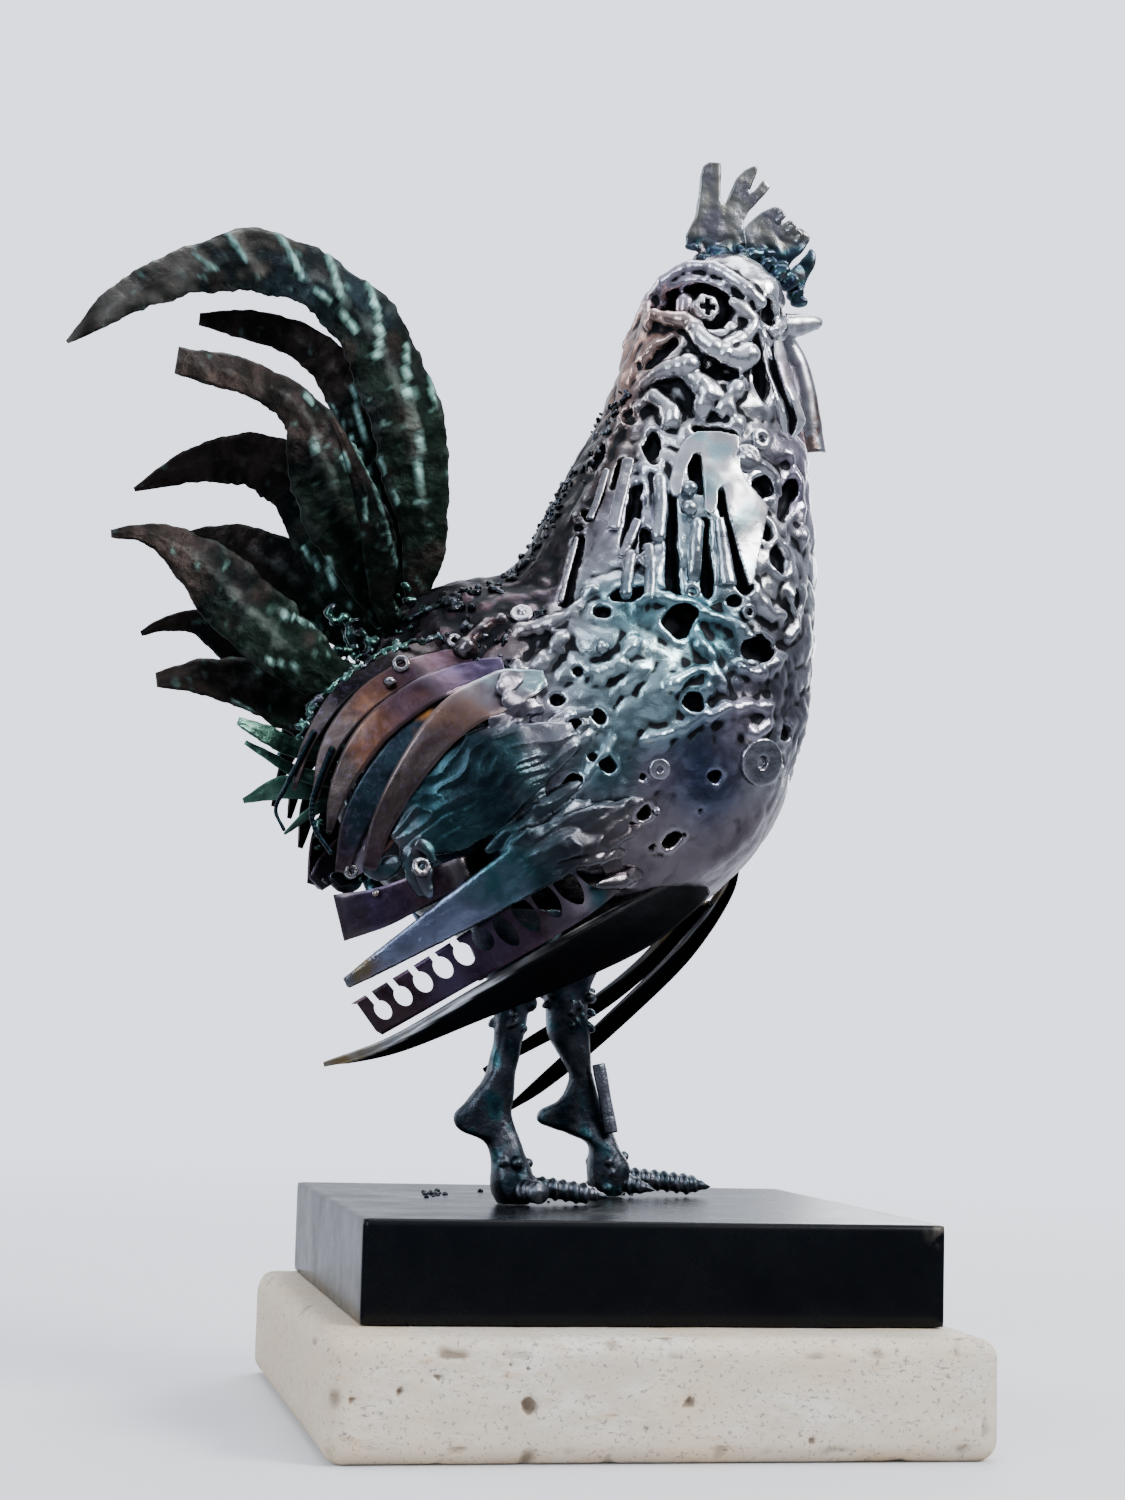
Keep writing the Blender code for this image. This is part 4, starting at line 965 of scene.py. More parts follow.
# Wings: crescent strips, then shell, pointed blade, lobe and square plate, as x, z, width and distance out
wing = {
    "strips": [
        (0, [(-56, 203, 5, -12), (-66, 201, 6, -2), (-82, 195, 6.5, 0), (-101, 182, 6.5, 0),
             (-113, 163, 4.5, 0), (-118, 145, 1.5, 0)]),
        (1, [(-50, 197, 7, -11), (-63, 195, 7.5, -2), (-81, 188, 8.6, 0), (-97, 175, 8.6, 0),
             (-107, 159, 6.4, 0), (-111, 141, 1.8, 0)]),
        (2, [(-45, 192, 8, -11), (-58, 189, 8.7, -2), (-76, 180, 10.8, 0), (-92, 166, 10.7, 0),
             (-102, 148, 7.8, 0), (-106, 130, 2.1, 0)]),
        (1, [(-43, 186, 7, -11), (-55, 182, 7.2, -3), (-73, 171, 10.7, 0), (-86, 154, 12.1, 0),
             (-96, 136, 10.6, 0), (-101, 116, 4.2, 0)]),
        (3, [(-31, 188, 6, -13), (-40, 185, 12, -9), (-48, 182, 14.4, -3), (-64, 172, 13.6, 0), (-78, 154, 10.7, 0),
             (-88, 134, 7.8, 0), (-92, 117, 4.9, 0)]),
    ],
    "stripTints": [
        [(0, "umber"), (0.5, "black"), (1, "umber")],
        [(0, "plum"), (0.3, "plum"), (0.5, "rust"), (0.7, "umber"), (1, "umber")],
        [(0, "violet"), (0.4, "plum"), (0.58, "rust"), (0.72, "umber"), (1, "umber")],
        [(0, "blueBlack"), (0.22, "blueBlack"), (0.30, "amber"), (0.38, "blueBlack"), (0.8, "blueBlack"), (1, "plum")],
        [(0, "ice"), (0.1, "pewter"), (0.2, "mauve"), (0.36, "copper"), (0.5, "brown"), (0.8, "umber"), (1, "plum")],
    ],
    "plates": {
        "shell": (2, 0.05, [(-83, 127, 12, 0), (-69, 138, 32, 0), (-51, 152, 34, 0), (-34, 161, 22, -1), (-20, 168, 9, -8)],
                  [(0, "slate"), (0.15, "lagoon"), (0.5, "blueBlack"), (0.75, "lagoon"), (1, "slate")]),
        "pointed_blade": (3, 0.02, [(-98, 77, 4.5, 0), (-78, 91, 10, 0), (-58, 105, 15, 0), (-33, 122, 19, 0),
                                    (-12, 134, 17, -1), (0, 141, 6, -12)],
                          [(0, "pewter"), (0.05, "straw"), (0.09, "lavender"), (0.2, "dusk"), (0.42, "dusk"), (0.6, "teal"),
                           (0.8, "slate"), (1, "mauve")]),
        "lobe": (0, 0.0, [(-66, 148, 8, -14), (-84, 134, 10.7, 0), (-93, 124, 12.1, 0), (-100, 116, 7.1, 0)],
                 [(0, "plum"), (0.6, "rust"), (0.9, "lavender"), (1, "lavender")]),
        "square_plate": (1, 0.0, [(-48, 122, 11, -18), (-72, 111, 12, 0), (-87, 104, 14.2, 0), (-101, 100, 16.9, 0)],
                         [(0, "black"), (0.5, "plum"), (0.8, "violet"), (1, "umber")]),
    },
    "wave": 0.45 * mm,
    "dark": 0.62,
    "shortOnLeft": ("pointed_blade", "square_plate"),      # guessed shorter, as neither shows behind the right wing
}


wingLeaves = {}      # shell and pointed blade of each side, which the flows join later


def ripples(points, seed):        # lines of molten metal that run up and forwards
    bent = points + 6 * mm * np.stack([noiseAt(points, 18 * mm, seed + k) for k in (1, 2, 3)], -1)
    stretched = bent @ np.array([[0.25, 0, 0.17], [0, 0.6, 0], [-0.56, 0, 0.83]]).T
    streaks = np.sqrt(np.abs(noiseAt(stretched, 5 * mm, seed)) + 0.01)
    return mm * (0.5 - 1.5 * streaks + 0.8 * noiseAt(points, 12 * mm, seed))


def makeWing(label, side):
    shift = 20.0 if side > 0 else 0.0
    for k, (layer, rows) in enumerate(wing["strips"]):
        raised = [(x, z, width, max(out, 0) + layer * layerPitch) for x, z, width, out in rows]
        seed = shift + 2.3 * k

        def waves(along, lane, middle):
            molten = np.clip(1 - 3.5 * along, 0, 1) * (lane * 0 + 1)
            return wing["wave"] * noiseAt(middle, 16 * mm, seed) + 1.3 * mm * molten * np.abs(noiseAt(middle, 5 * mm, seed))

        shape = leaf(raised, sheets["wing"], side, rooted(rows, 0.3, 4.2), ragged=0.06, relief=waves, seed=seed)
        colours = tinted(shape[0], rows, wing["stripTints"][k], 0.12, 16 * mm, seed) * wing["dark"]
        newPiece(f"{label}_wing_band_{k + 1}", shape, sheetMetal,
                 [f"{label}_wing_strip_{k + 1}"], colours)
    for name, (layer, crown, rows, stops) in wing["plates"].items():
        if side > 0 and name in wing["shortOnLeft"]:
            rows = rows[2:] if name == "pointed_blade" else rows[:-1]
        raised = [(x, z, width, max(out, 0) + layer * layerPitch) for x, z, width, out in rows]
        seed = shift + len(name)

        def flow(along, lane, middle):
            return 0.3 * ripples(middle, seed)

        share = 0.2 if name == "square_plate" else 0.4
        if name in ("shell", "pointed_blade"):
            thick = 2.2 * sheets["wing"]
            wingLeaves[label, name] = leaf(raised, thick, side, rooted(rows, share), crown, ragged=0.02, seed=seed)
            continue
        shape = leaf(raised, sheets["wing"], side, rooted(rows, share), crown, ragged=0.02, relief=flow, seed=seed)
        colours = tinted(shape[0], rows, stops, 0.10, 16 * mm, seed) * wing["dark"]
        newPiece(f"{label}_{name}_sheet", shape, sheetMetal, [f"{label}_wing_{name}"], colours)


# Long blades below the wings
blades = {
    "holed": [(-92, 63, 15, 1), (-60, 84, 16.5, 1), (-30, 104, 19, 1), (-8, 119, 19, 1), (4, 126, 10, -3)],
    "holedTints": [(0, "umber"), (0.15, "plum"), (0.35, "violet"), (0.6, "plum"), (0.74, "lavender"), (0.82, "teal"),
                   (0.87, "mauve"), (1, "mauve")],
    "holedDark": 0.6,
    "low": [(-103, 48, 1.8, 0), (-79, 56, 6.4, 0), (-51, 71, 11.5, 0), (-22, 86, 16.4, -4), (7, 101, 18.5, -13),
            (28, 113, 14, -26), (38, 119, 10, -36)],
    "leftUpper": [(50, 114, 6, 20), (46, 109, 8, 30), (31, 89, 7.5, 42), (12, 72, 7, 50), (-12, 57, 5, 53), (-30, 46, 2, 54)],
    "leftLower": [(58, 128, 6, 12), (57, 118, 7, 20), (51, 103, 8, 34), (40, 87, 8.3, 44), (12.8, 59, 7.5, 52),
                  (-7, 41, 5.5, 55), (-20, 31, 2, 55)],
    "thick": 1.8 * mm,
    "eggs": [(383, 1010), (403, 996), (423, 982), (443, 967.5), (464, 954), (483, 939)],
    "eggSize": 10.5,
    "neck": 3.2,
    "ovals": [((506, 931), 19), ((525, 914), 22), ((545.5, 899), 23.5), ((567, 885), 24.5), ((588, 868), 26)],
    "chamfer": [(340, 1004), (357, 1004), (376, 1031), (391, 1040), (391, 1060), (340, 1060)],
    "bevel": 1.3 * mm,
    "bevelWidth": 3.4,
    "bevelPale": 0.8,
}


def holeCutters():        # eggs with a neck to the upper edge, then closed ovals, drawn in pixels
    long, wide = np.array((0.65, 0.76)), np.array((0.76, -0.65))
    outlines = [np.array(blades["chamfer"], float)]
    for k, centre in enumerate(blades["eggs"]):
        turn = np.linspace(0.42, 2 * math.pi - 0.42, 22) + math.pi
        size = blades["eggSize"] * (1 + 0.05 * k)
        ring = [centre + long * size * math.cos(t) + wide * 0.74 * size * math.sin(t) for t in turn]
        neck = blades["neck"]
        for reach, half in ((1.9, neck), (2.6, 1.5 * neck), (4.4, 2.2 * neck)):
            ring.insert(0, centre - long * size * reach + wide * half * -1)
            ring.append(centre - long * size * reach + wide * half)
        outlines.append(np.array(ring))
    for centre, reach in blades["ovals"]:
        turn = np.linspace(0, 2 * math.pi, 28, endpoint=False)
        narrow = 0.47 * reach * np.sin(turn) * np.abs(np.sin(turn)) ** 0.25
        outlines.append(centre + np.outer(np.cos(turn) * reach, long) + np.outer(narrow, wide))
    shapes = []
    for outline in outlines:
        ends = [np.array([onPlane(px, py, depth * unit) for px, py in outline]) for depth in (-80, -35)]
        count = len(outline)
        faces = gridFaces(2, count, wrap=True) + [list(range(count))[::-1], list(range(count, 2 * count))]
        shapes.append((np.vstack(ends), faces))
    return joined(shapes)


def makeBlades():
    rows = [(x, z, width, max(out, 0) * layerPitch) for x, z, width, out in blades["holed"]]
    plain = leaf(rows, sheets["wing"], -1, rooted(rows, 0.3), seed=4.0)
    cutterShape = holeCutters()
    mesh = bpy.data.meshes.new("hole_cutters")
    mesh.from_pydata(cutterShape[0].tolist(), [], cutterShape[1])
    cutter = bpy.data.objects.new("hole_cutters", mesh)
    bpy.context.scene.collection.objects.link(cutter)
    bm = bmesh.new()
    bm.from_mesh(mesh)
    bmesh.ops.recalc_face_normals(bm, faces=bm.faces)
    bm.to_mesh(mesh)
    bm.free()
    shape = throughModifiers(plain, [("BOOLEAN", {"operation": "DIFFERENCE", "object": cutter})])
    bpy.data.objects.remove(cutter, do_unlink=True)
    colours = tinted(shape[0], rows, blades["holedTints"], 0.08, 20 * mm, 4.0) * blades["holedDark"]
    piece = newPiece("right_perforated_blade", shape, sheetMetal, ["right_holed_blade"], colours,
                     np.zeros(len(shape[0])))
    piece.data.set_sharp_from_angle(angle=math.radians(35))
    for name, key, side, surface, node in (
        ("right_long_blade", "low", -1, wingSurface, "right_low_blade"),
        ("left_long_blade_upper", "leftUpper", 1, flatSurface, "left_blade_upper"),
        ("left_long_blade_lower", "leftLower", 1, flatSurface, "left_blade_lower"),
    ):
        rows, upper = blades[key], 1 if key == "low" else -1
        evenWidths = smoothRows(rows, 200).T[2]

        def bevelled(along, lane):        # 1 on the ground strip along the upper edge
            width = np.interp(along, np.linspace(0, 1, 200), evenWidths)
            reach = blades["bevelWidth"] * np.interp(along, (0, 0.3, 0.62, 0.75), (1, 0.8, 0.3, 0))
            return np.clip((reach - (1 - lane * upper) * width / 2) / 0.6, 0, 1)

        def ground(along, lane, middle):
            return -blades["bevel"] * bevelled(along, lane)

        shape = leaf(rows, blades["thick"], side, surface, crown=0.02, relief=ground, seed=6.0)
        lanes = sheets["lanes"]
        count = len(shape[0]) // (2 * lanes)
        lane = np.sin(np.linspace(-1, 1, lanes) * math.pi / 2)
        edge = np.tile(bevelled(np.linspace(0, 1, count)[:, None], lane[None, :]).ravel(), 2)[:, None]
        colours = 0.35 * np.array(paint["black"]) * (1 - edge) + blades["bevelPale"] * edge * tinted(
            shape[0], rows, [(0, "straw"), (0.2, "silver"), (0.5, "silver"), (0.7, "slate"), (1, "black")], 0.2)
        newPiece(name, shape, bladeMetal, [node], colours)


hooks = {
    "radius": 1.1 * mm,
    "ribPitch": 1.7 * mm,
    "ribHeight": 0.35 * mm,
    "paths": {
        "hook_outer": (0, [(-112, 166), (-117, 155), (-121, 146), (-124, 138), (-121, 131)]),
        "hook_ribbed": (1, [(-106, 160), (-110, 148), (-112, 140), (-111, 132), (-105, 123)]),
    },
}


def makeHooks():
    for name, (layer, path) in hooks["paths"].items():
        x, z = smoothRows(path, 90).T
        out = (sheets["wing"] / 2 + hooks["radius"] + 0.3 * mm) / unit
        points = place(x, -(wingSurface(x, z) + layer * layerPitch + out), z)
        travel = np.concatenate([[0], np.cumsum(np.linalg.norm(np.diff(points, axis=0), axis=1))])
        ribs = np.abs(np.sin(math.pi * travel / hooks["ribPitch"])) ** 0.5 if layer else noiseAt(points, 4 * mm) + 0.5
        radii = hooks["radius"] * np.linspace(1, 0.75, 90) + hooks["ribHeight"] * (ribs - 0.8)
        shape = tube(points, radii, 12)
        tint = 0.4 * np.array(paint["blueBlack"])
        newPiece(name + "_iron", shape, ironMetal, [name], tint, np.zeros(len(shape[0])))


for label, side in (("right", -1), ("left", 1)):
    makeWing(label, side)
makeBlades()
makeHooks()
print("wings and blades made")

# Legs from thigh to sole: back x, z, front x, z and half width
legs = {
    "spread": 28,
    "squareness": 2.6,
    "voxel": 0.55 * mm,
    "right": [
        (-54, 106, -14, 106, 13), (-51, 92, -20, 92, 12), (-43, 78, -27, 78, 8), (-41, 62, -30, 62, 5.5),
        (-44, 46, -33, 47, 5), (-51, 36, -33.5, 38, 4.4), (-55, 31, -34, 33, 4.2), (-53, 26, -33, 28, 4.2),
        (-44, 22, -31, 23, 5), (-41, 15, -28, 16, 6.5), (-41, 8, -25, 8, 8.5), (-40, 3.5, -25, 3, 8.5),
        (-38, 0.0, -27, 0.0, 7),
    ],
    "left": [
        (-22, 106, 18, 106, 13), (-16, 90, 11, 92, 11), (-11, 72, 5, 75, 8.5), (-10, 61, 6, 62, 6.5),
        (-4, 51, 7, 51, 5.2), (-1, 44, 8, 45, 5), (-5, 36, 10, 38, 4.4), (-12.5, 31.5, 12, 33, 4.2),
        (-12.5, 27, 14, 28, 4.2), (-2, 23.5, 17, 23, 5), (7, 19, 19, 18, 6.5), (7, 10, 23, 11, 8),
        (8, 4, 23, 4, 8), (10, 0.0, 20, 0.0, 6.5),
    ],
    "dark": 0.5,
    "weldLumps": 26,
    "hubLumps": 20,
}


def lofted(stations, rings, sides, centreY=0.0, squareness=2.0):
    turn = 2 * math.pi * np.arange(sides) / sides
    along = np.sign(np.cos(turn)) * np.abs(np.cos(turn)) ** (2 / squareness)
    across = np.sign(np.sin(turn)) * np.abs(np.sin(turn)) ** (2 / squareness)
    made = []
    for backX, backZ, frontX, frontZ, half in smoothRows(stations, rings):
        x = (backX + frontX) / 2 + (frontX - backX) / 2 * along
        z = (backZ + frontZ) / 2 + (frontZ - backZ) / 2 * along
        made.append(place(x, centreY + max(half, 0.5) * across, z))
    return ringShape(made)


def makeLeg(label, centreY, seed):
    stations = legs[label]
    shapes = [lofted(stations, 70, 36, centreY, legs["squareness"])]
    local = np.random.default_rng(seed)
    rows = np.array(stations)
    for k in range(legs["weldLumps"]):        # ridged welds down the thigh and lumps on the hub
        row = rows[1] + (rows[3] - rows[1]) * local.uniform()
        share = local.uniform()
        x = row[0] + (row[2] - row[0]) * share
        y = centreY + local.choice((-1, 1)) * row[4] * math.sqrt(max(1 - (2 * share - 1) ** 2, 0)) * 0.9
        size = local.uniform(1.0, 2.3) * mm
        shapes.append(blob(place(x, y, row[1]), (size, size, size * 1.6), 6, 9, local.normal(size=3)))
    hub = rows[-2]
    for k in range(legs["hubLumps"]):
        share = local.uniform(0.05, 0.95)
        x = hub[0] + (hub[2] - hub[0]) * share
        y = centreY + local.choice((-1, 1)) * hub[4] * 0.85 * math.sqrt(max(1 - (2 * share - 1) ** 2, 0))
        size = local.uniform(1.2, 2.4) * mm
        shapes.append(blob(place(x, y, local.uniform(2.5, 15)), size, 6, 9, local.normal(size=3)))
    shape = fused(joined(shapes), legs["voxel"], 2)
    points = shape[0]
    normals = normalsOf(shape)
    push = 0.5 * mm * noiseAt(points, 7 * mm, seed) + 0.25 * mm * np.abs(noiseAt(points, 2.4 * mm, seed))
    points = points + normals * push[:, None]
    points[:, 2] = np.maximum(points[:, 2], soleZ)
    stops = [(0.0, "blueBlack"), (0.5, "slate"), (0.75, "teal"), (1.0, "blueBlack")]
    colours = blended(stops, np.clip(0.35 + 1.1 * noiseAt(points, 9 * mm, seed), 0, 1)) * legs["dark"]
    newPiece(label + "_leg_forging", (points, shape[1]), ironMetal, [label + "_leg"], colours)


toes = {
    "crest": 4.2 * mm,
    "core": 3.4 * mm,
    "pitch": 3.9 * mm,
    "point": 9.0 * mm,
    "step": 0.28 * mm,
    "sides": 36,
}


def screwShape(start, tip, blunt=False):
    start, tip = np.array(start), np.array(tip)
    length = np.linalg.norm(tip - start)
    heights = np.arange(0, length, toes["step"])
    turnUp = np.array(Vector(tip - start).to_track_quat("Z", "Y").to_matrix())
    turn = 2 * math.pi * np.arange(toes["sides"]) / toes["sides"]
    phase = (heights[:, None] / toes["pitch"] - turn[None, :] / (2 * math.pi)) % 1.0
    crest = np.clip(1 - np.abs(phase - 0.5) / 0.32, 0, 1) ** 0.8
    taper = np.ones_like(heights) if blunt else np.clip((length - heights) / toes["point"], 0.04, 1) ** 0.8
    radius = taper[:, None] * (toes["core"] + (toes["crest"] - toes["core"]) * crest)
    rings = np.stack([radius * np.cos(turn), radius * np.sin(turn), np.repeat(heights[:, None], len(turn), 1)], -1)
    return ringShape(rings @ turnUp.T + start)


def makeToes():
    lift = toes["crest"] / unit
    right, left = -legs["spread"], legs["spread"]
    ways = {
        "right_toe_long": ((-32.5, right + 2, lift + 3), (3, right + 2, 2.5), False),
        "right_toe_stub": ((-32.5, right - 1, lift + 1.2), (-26, right - 17, lift + 0.8), True),
        "left_toe_long": ((15.5, left + 2, lift + 3.5), (57, left + 4, 3.5), False),
        "left_toe_short": ((15.5, left - 2, lift + 2), (32, left - 8, 2.5), False),
    }
    for name, (root, tip, blunt) in ways.items():
        shape = screwShape(place(*root), place(*tip), blunt)
        points, faces = shape
        points = points + normalsOf(shape) * (0.25 * mm * noiseAt(points, 3 * mm))[:, None]
        points[:, 2] = np.maximum(points[:, 2], soleZ)
        colours = blended([(0, "blueBlack"), (0.5, "slate"), (1, "pewter")], np.clip(0.3 + noiseAt(points, 6 * mm), 0, 1))
        newPiece(name + "_screw", (points, faces), ironMetal, [name], colours * 0.8,
                 hollowsOf((points, faces), 0.4 * mm, 6))
    low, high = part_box("left_shin_rod")
    radius = (high.y - low.y) / 2
    y = (high.y + low.y) / 2
    top = np.array((low.x + 0.9 * radius, y, high.z))
    foot = np.array((high.x - 0.9 * radius, y, low.z))
    path = top + (foot - top) * np.linspace(0.02, 0.98, 30)[:, None]
    shape = tube(path, radius * 0.97 * (1 + 0.04 * np.sin(np.linspace(0, 9, 30))), 20, domes=False)
    newPiece("left_shin_bar", shape, ironMetal, ["left_shin_rod"], paint["slate"])


makeCrumbs()
makeLeg("right", -legs["spread"], 31)
makeLeg("left", legs["spread"], 47)
makeToes()
print("legs made")

# Body: a smooth skin pushed into molten lobes, with pits and beads placed by the picture
body = {
    "voxel": 0.95 * mm,
    "coarse": 1.6 * mm,
    "lobes": ((15 * mm, 2.6 * mm), (7 * mm, 1.3 * mm), (3.2 * mm, 0.45 * mm)),
    "warp": (24 * mm, 9 * mm),
    "nape": [(380, 630), (450, 630), (520, 606), (600, 560), (650, 500), (680, 440)],      # pixel row and column
    "cut": 252,        # drawn height where the skin is parted in two pieces
    # pits: pixel, half length and half width in mm, tilt in degrees, depth in mm
    "pits": [
        (678, 619, 6.2, 5.0, -30, 7), (758, 649, 5.2, 4.2, 20, 6), (694, 702, 3.8, 3.4, 0, 5),
        (600, 716, 2.9, 2.5, 60, 5),
        (557, 699, 2.6, 2.2, 0, 4), (525, 729, 3.2, 2.4, -30, 3.5), (576, 724, 2.4, 1.8, -25, 4),
        (609, 764, 3.0, 2.4, 30, 4.5),
        (592, 757, 1.6, 1.3, 0, 3), (571, 783, 3.6, 2.6, -45, 4.5), (538, 797, 2.4, 2.0, 0, 4),
        (716, 777, 2.6, 2.2, 0, 4),
        (644, 778, 1.2, 1.2, 0, 2.5), (644, 814, 2.8, 2.2, -50, 5), (671, 841, 3.8, 2.4, -40, 5),
        (701, 811, 1.1, 1.0, 0, 2.5),
        (651, 848, 1.2, 1.0, 0, 2.5), (629, 879, 2.2, 1.6, -70, 4), (577, 671, 1.9, 1.6, 0, 3),
        (786, 733, 2.2, 3.2, 0, 3.5),
        (783, 762, 1.8, 2.6, 0, 3), (527, 678, 4.5, 1.5, -15, 4), (588, 514, 2.4, 2.0, 0, 4),
        (578, 527, 1.8, 1.6, 0, 3),
        (716, 433, 8.5, 2.8, 12, 5), (762, 487, 3.6, 5.0, 30, 5), (787, 500, 3.2, 8.5, 15, 4.5),
        (780, 558, 4.2, 4.8, 0, 5),
        (732, 471, 2.4, 2.0, 0, 3.5), (628, 417, 3.0, 3.6, 0, 5), (652, 447, 2.6, 6.5, -5, 4.5),
        (598, 455, 2.0, 5.5, 20, 3.5),
        (766, 530, 2.4, 4.5, -20, 4), (700, 305, 13.5, 8.2, 16, 7), (660, 352, 9.5, 3.0, -35, 4.5),
        (716, 370, 7.5, 3.2, 25, 6),
        (771, 311, 3.4, 4.4, 0, 5), (762, 372, 3.4, 12.0, -5, 5), (628, 593, 6.5, 2.4, -10, 5),
        (602, 610, 3.0, 2.2, 0, 4),
        (800, 600, 2.2, 4.0, 0, 3), (735, 600, 3.0, 2.2, 0, 4), (745, 560, 2.0, 4.5, 0, 4),
    ],
    # dark slots beside the scrap: both ends as pixels, half width and depth in mm
    "slots": [
        (723, 495, 745, 586, 2.6, 6), (577, 540, 565, 600, 2.4, 5), (622, 462, 613, 486, 1.5, 4),
        (637, 488, 628, 545, 2.6, 5),
        (668, 500, 674, 590, 2.6, 6), (705, 520, 708, 592, 2.0, 6), (695, 455, 700, 485, 3.0, 5),
        (644, 530, 646, 552, 1.8, 5),
    ],
    # ridges run along pixels; radius at both ends and how far the middle stands out, in mm
    "ridges": [
        ([(741, 668), (760, 673), (780, 655)], 2.6, 3.6, 0.2),
        ([(673, 686), (693, 671), (714, 671), (722, 684)], 2.8, 3.2, 0),
        ([(646, 739), (679, 729), (733, 707), (768, 708)], 2.2, 3.6, -0.4),
        ([(560, 640), (545, 660), (520, 668)], 4.5, 3.5, -1),
        ([(634, 640), (622, 660), (600, 674)], 3.4, 4.4, -1.0),
        ([(700, 640), (710, 660), (706, 690)], 3.5, 3.5, -0.8),
        ([(585, 735), (560, 752), (540, 775), (520, 790)], 1.8, 2.4, 0.1),
        ([(612, 740), (590, 775), (560, 812)], 1.6, 2.2, 0),
        ([(570, 715), (540, 742), (520, 752)], 2.2, 2.6, 0),
        ([(755, 590), (768, 612), (780, 616)], 3.4, 3.4, -0.4),
        ([(715, 615), (735, 625), (748, 640)], 3.0, 3.6, -0.4),
        ([(640, 600), (660, 598), (690, 603), (706, 615)], 2.2, 3.0, 0),
        ([(590, 590), (570, 612), (548, 625), (520, 630)], 3.0, 4.0, -0.8),
        ([(500, 620), (480, 632), (466, 650)], 3.4, 4.0, 0),
        ([(610, 440), (600, 470), (585, 500), (572, 520)], 2.4, 2.8, -0.4),
        ([(440, 747), (462, 733), (487, 724)], 2.2, 2.8, 0.2),
        ([(790, 590), (796, 620), (788, 640)], 2.6, 2.6, -0.2), ([(770, 722), (752, 735)], 3.0, 3.0, -0.4),
        ([(618, 430), (640, 405), (662, 398), (672, 420)], 2.6, 4.2, -0.2),
        ([(702, 379), (716, 392), (712, 408)], 4.0, 3.4, -0.6),
        ([(743, 385), (730, 404), (738, 424)], 3.0, 4.0, -0.6),
        ([(640, 445), (646, 470), (640, 500)], 2.0, 2.4, 0),
        ([(790, 455), (800, 500), (802, 540)], 2.6, 3.0, -0.4), ([(655, 455), (660, 480)], 2.0, 2.6, 0.2),
    ],
    # beads of weld metal laid on last
    "beads": [
        ([(650, 326), (652, 303), (666, 282), (688, 269), (714, 270), (741, 285), (759, 302)], 2.4, 3.0, 0.6),
        ([(733, 303), (744, 312), (752, 324), (744, 337), (728, 346)], 2.6, 3.2, 0.8),
        ([(657, 320), (672, 324), (690, 329), (704, 341), (719, 354), (736, 361), (745, 356)], 2.6, 5.2, 2.4),
        ([(645, 386), (664, 373), (688, 367)], 2.6, 4.4, 1.2),
        ([(656, 398), (672, 412), (668, 424)], 3.6, 3.0, 1.0),
        ([(692, 378), (706, 392), (702, 410)], 4.0, 4.6, 0.6), ([(736, 388), (722, 410)], 3.6, 3.0, 0.8),
        ([(684, 301), (683, 308)], 3.0, 3.4, -1.5),
        ([(746, 300), (742, 310)], 1.6, 1.8, 1.6), ([(774, 330), (782, 322)], 3.0, 2.6, 0.2),
    ],
    # tints: pixel, reach in mm and colour; the black ones from (506, 931) to (590, 872), low on the body, are painted
    # shade seen through the perforated blade's holes
    "tints": [
        (690, 272, 12, "lavender"), (752, 292, 14, "silver"), (652, 330, 12, "copper"), (622, 400, 12, "copper"),
        (600, 455, 14, "umber"), (585, 490, 12, "umber"), (560, 545, 12, "tar"), (610, 430, 8, "umber"),
        (566, 525, 16, "umber"), (520, 585, 18, "plum"), (470, 610, 20, "plum"),
        (430, 600, 16, "tar"), (540, 560, 12, "umber"), (506, 931, 12, "black"), (530, 915, 10, "black"),
        (700, 372, 12, "silver"), (740, 400, 14, "silver"), (670, 400, 12, "pewter"), (700, 440, 16, "silver"),
        (795, 480, 14, "lavender"), (800, 570, 14, "pewter"), (770, 605, 12, "silver"),
        (740, 520, 18, "silver"), (690, 520, 16, "ice"),
        (640, 520, 14, "lavender"), (604, 560, 16, "pewter"), (500, 645, 13, "brown"),
        (560, 640, 14, "pewter"), (480, 660, 12, "umber"),
        # the ice patches at the breast centre, near (600, 690) to (660, 705), are heat tint with a painted highlight on
        # them
        (622, 600, 12, "teal"), (625, 680, 15, "ice"), (660, 705, 12, "ice"), (715, 630, 14, "teal"),
        (765, 650, 16, "slate"),
        (690, 745, 14, "navy"), (740, 715, 14, "lavender"), (795, 690, 16, "slate"), (705, 790, 13, "navy"),
        (660, 830, 16, "mauve"), (745, 850, 22, "mauve"), (690, 880, 18, "mauve"), (620, 865, 14, "mauve"),
        (600, 760, 11, "teal"), (560, 790, 14, "slate"), (530, 840, 16, "blueBlack"), (640, 925, 16, "black"),
        (440, 630, 20, "plum"), (700, 690, 9, "teal"), (520, 905, 12, "black"), (560, 888, 10, "black"),
        (590, 872, 7, "black"), (655, 660, 10, "ice"), (765, 760, 12, "pewter"), (575, 740, 10, "pewter"),
        (600, 690, 12, "ice"), (560, 715, 10, "lavender"), (660, 770, 9, "lavender"), (540, 680, 12, "pewter"),
        (505, 690, 10, "lavender"),
    ],
}


def landing(tree, px, py, side=-1):        # where a pixel meets the skin, or the same place on the far side
    spot, normal, _, _ = tree.ray_cast(Vector(view["place"]), pixelRay(px, py))
    if spot is None:
        spot, normal, _, _ = tree.find_nearest(Vector(view["place"]) + pixelRay(px, py) * 1.03)
    if side > 0:
        mirrored = Vector((spot.x, 2 * middleY - spot.y, spot.z))
        spot, normal, _, _ = tree.find_nearest(mirrored)
    return np.array(spot), np.array(normal)


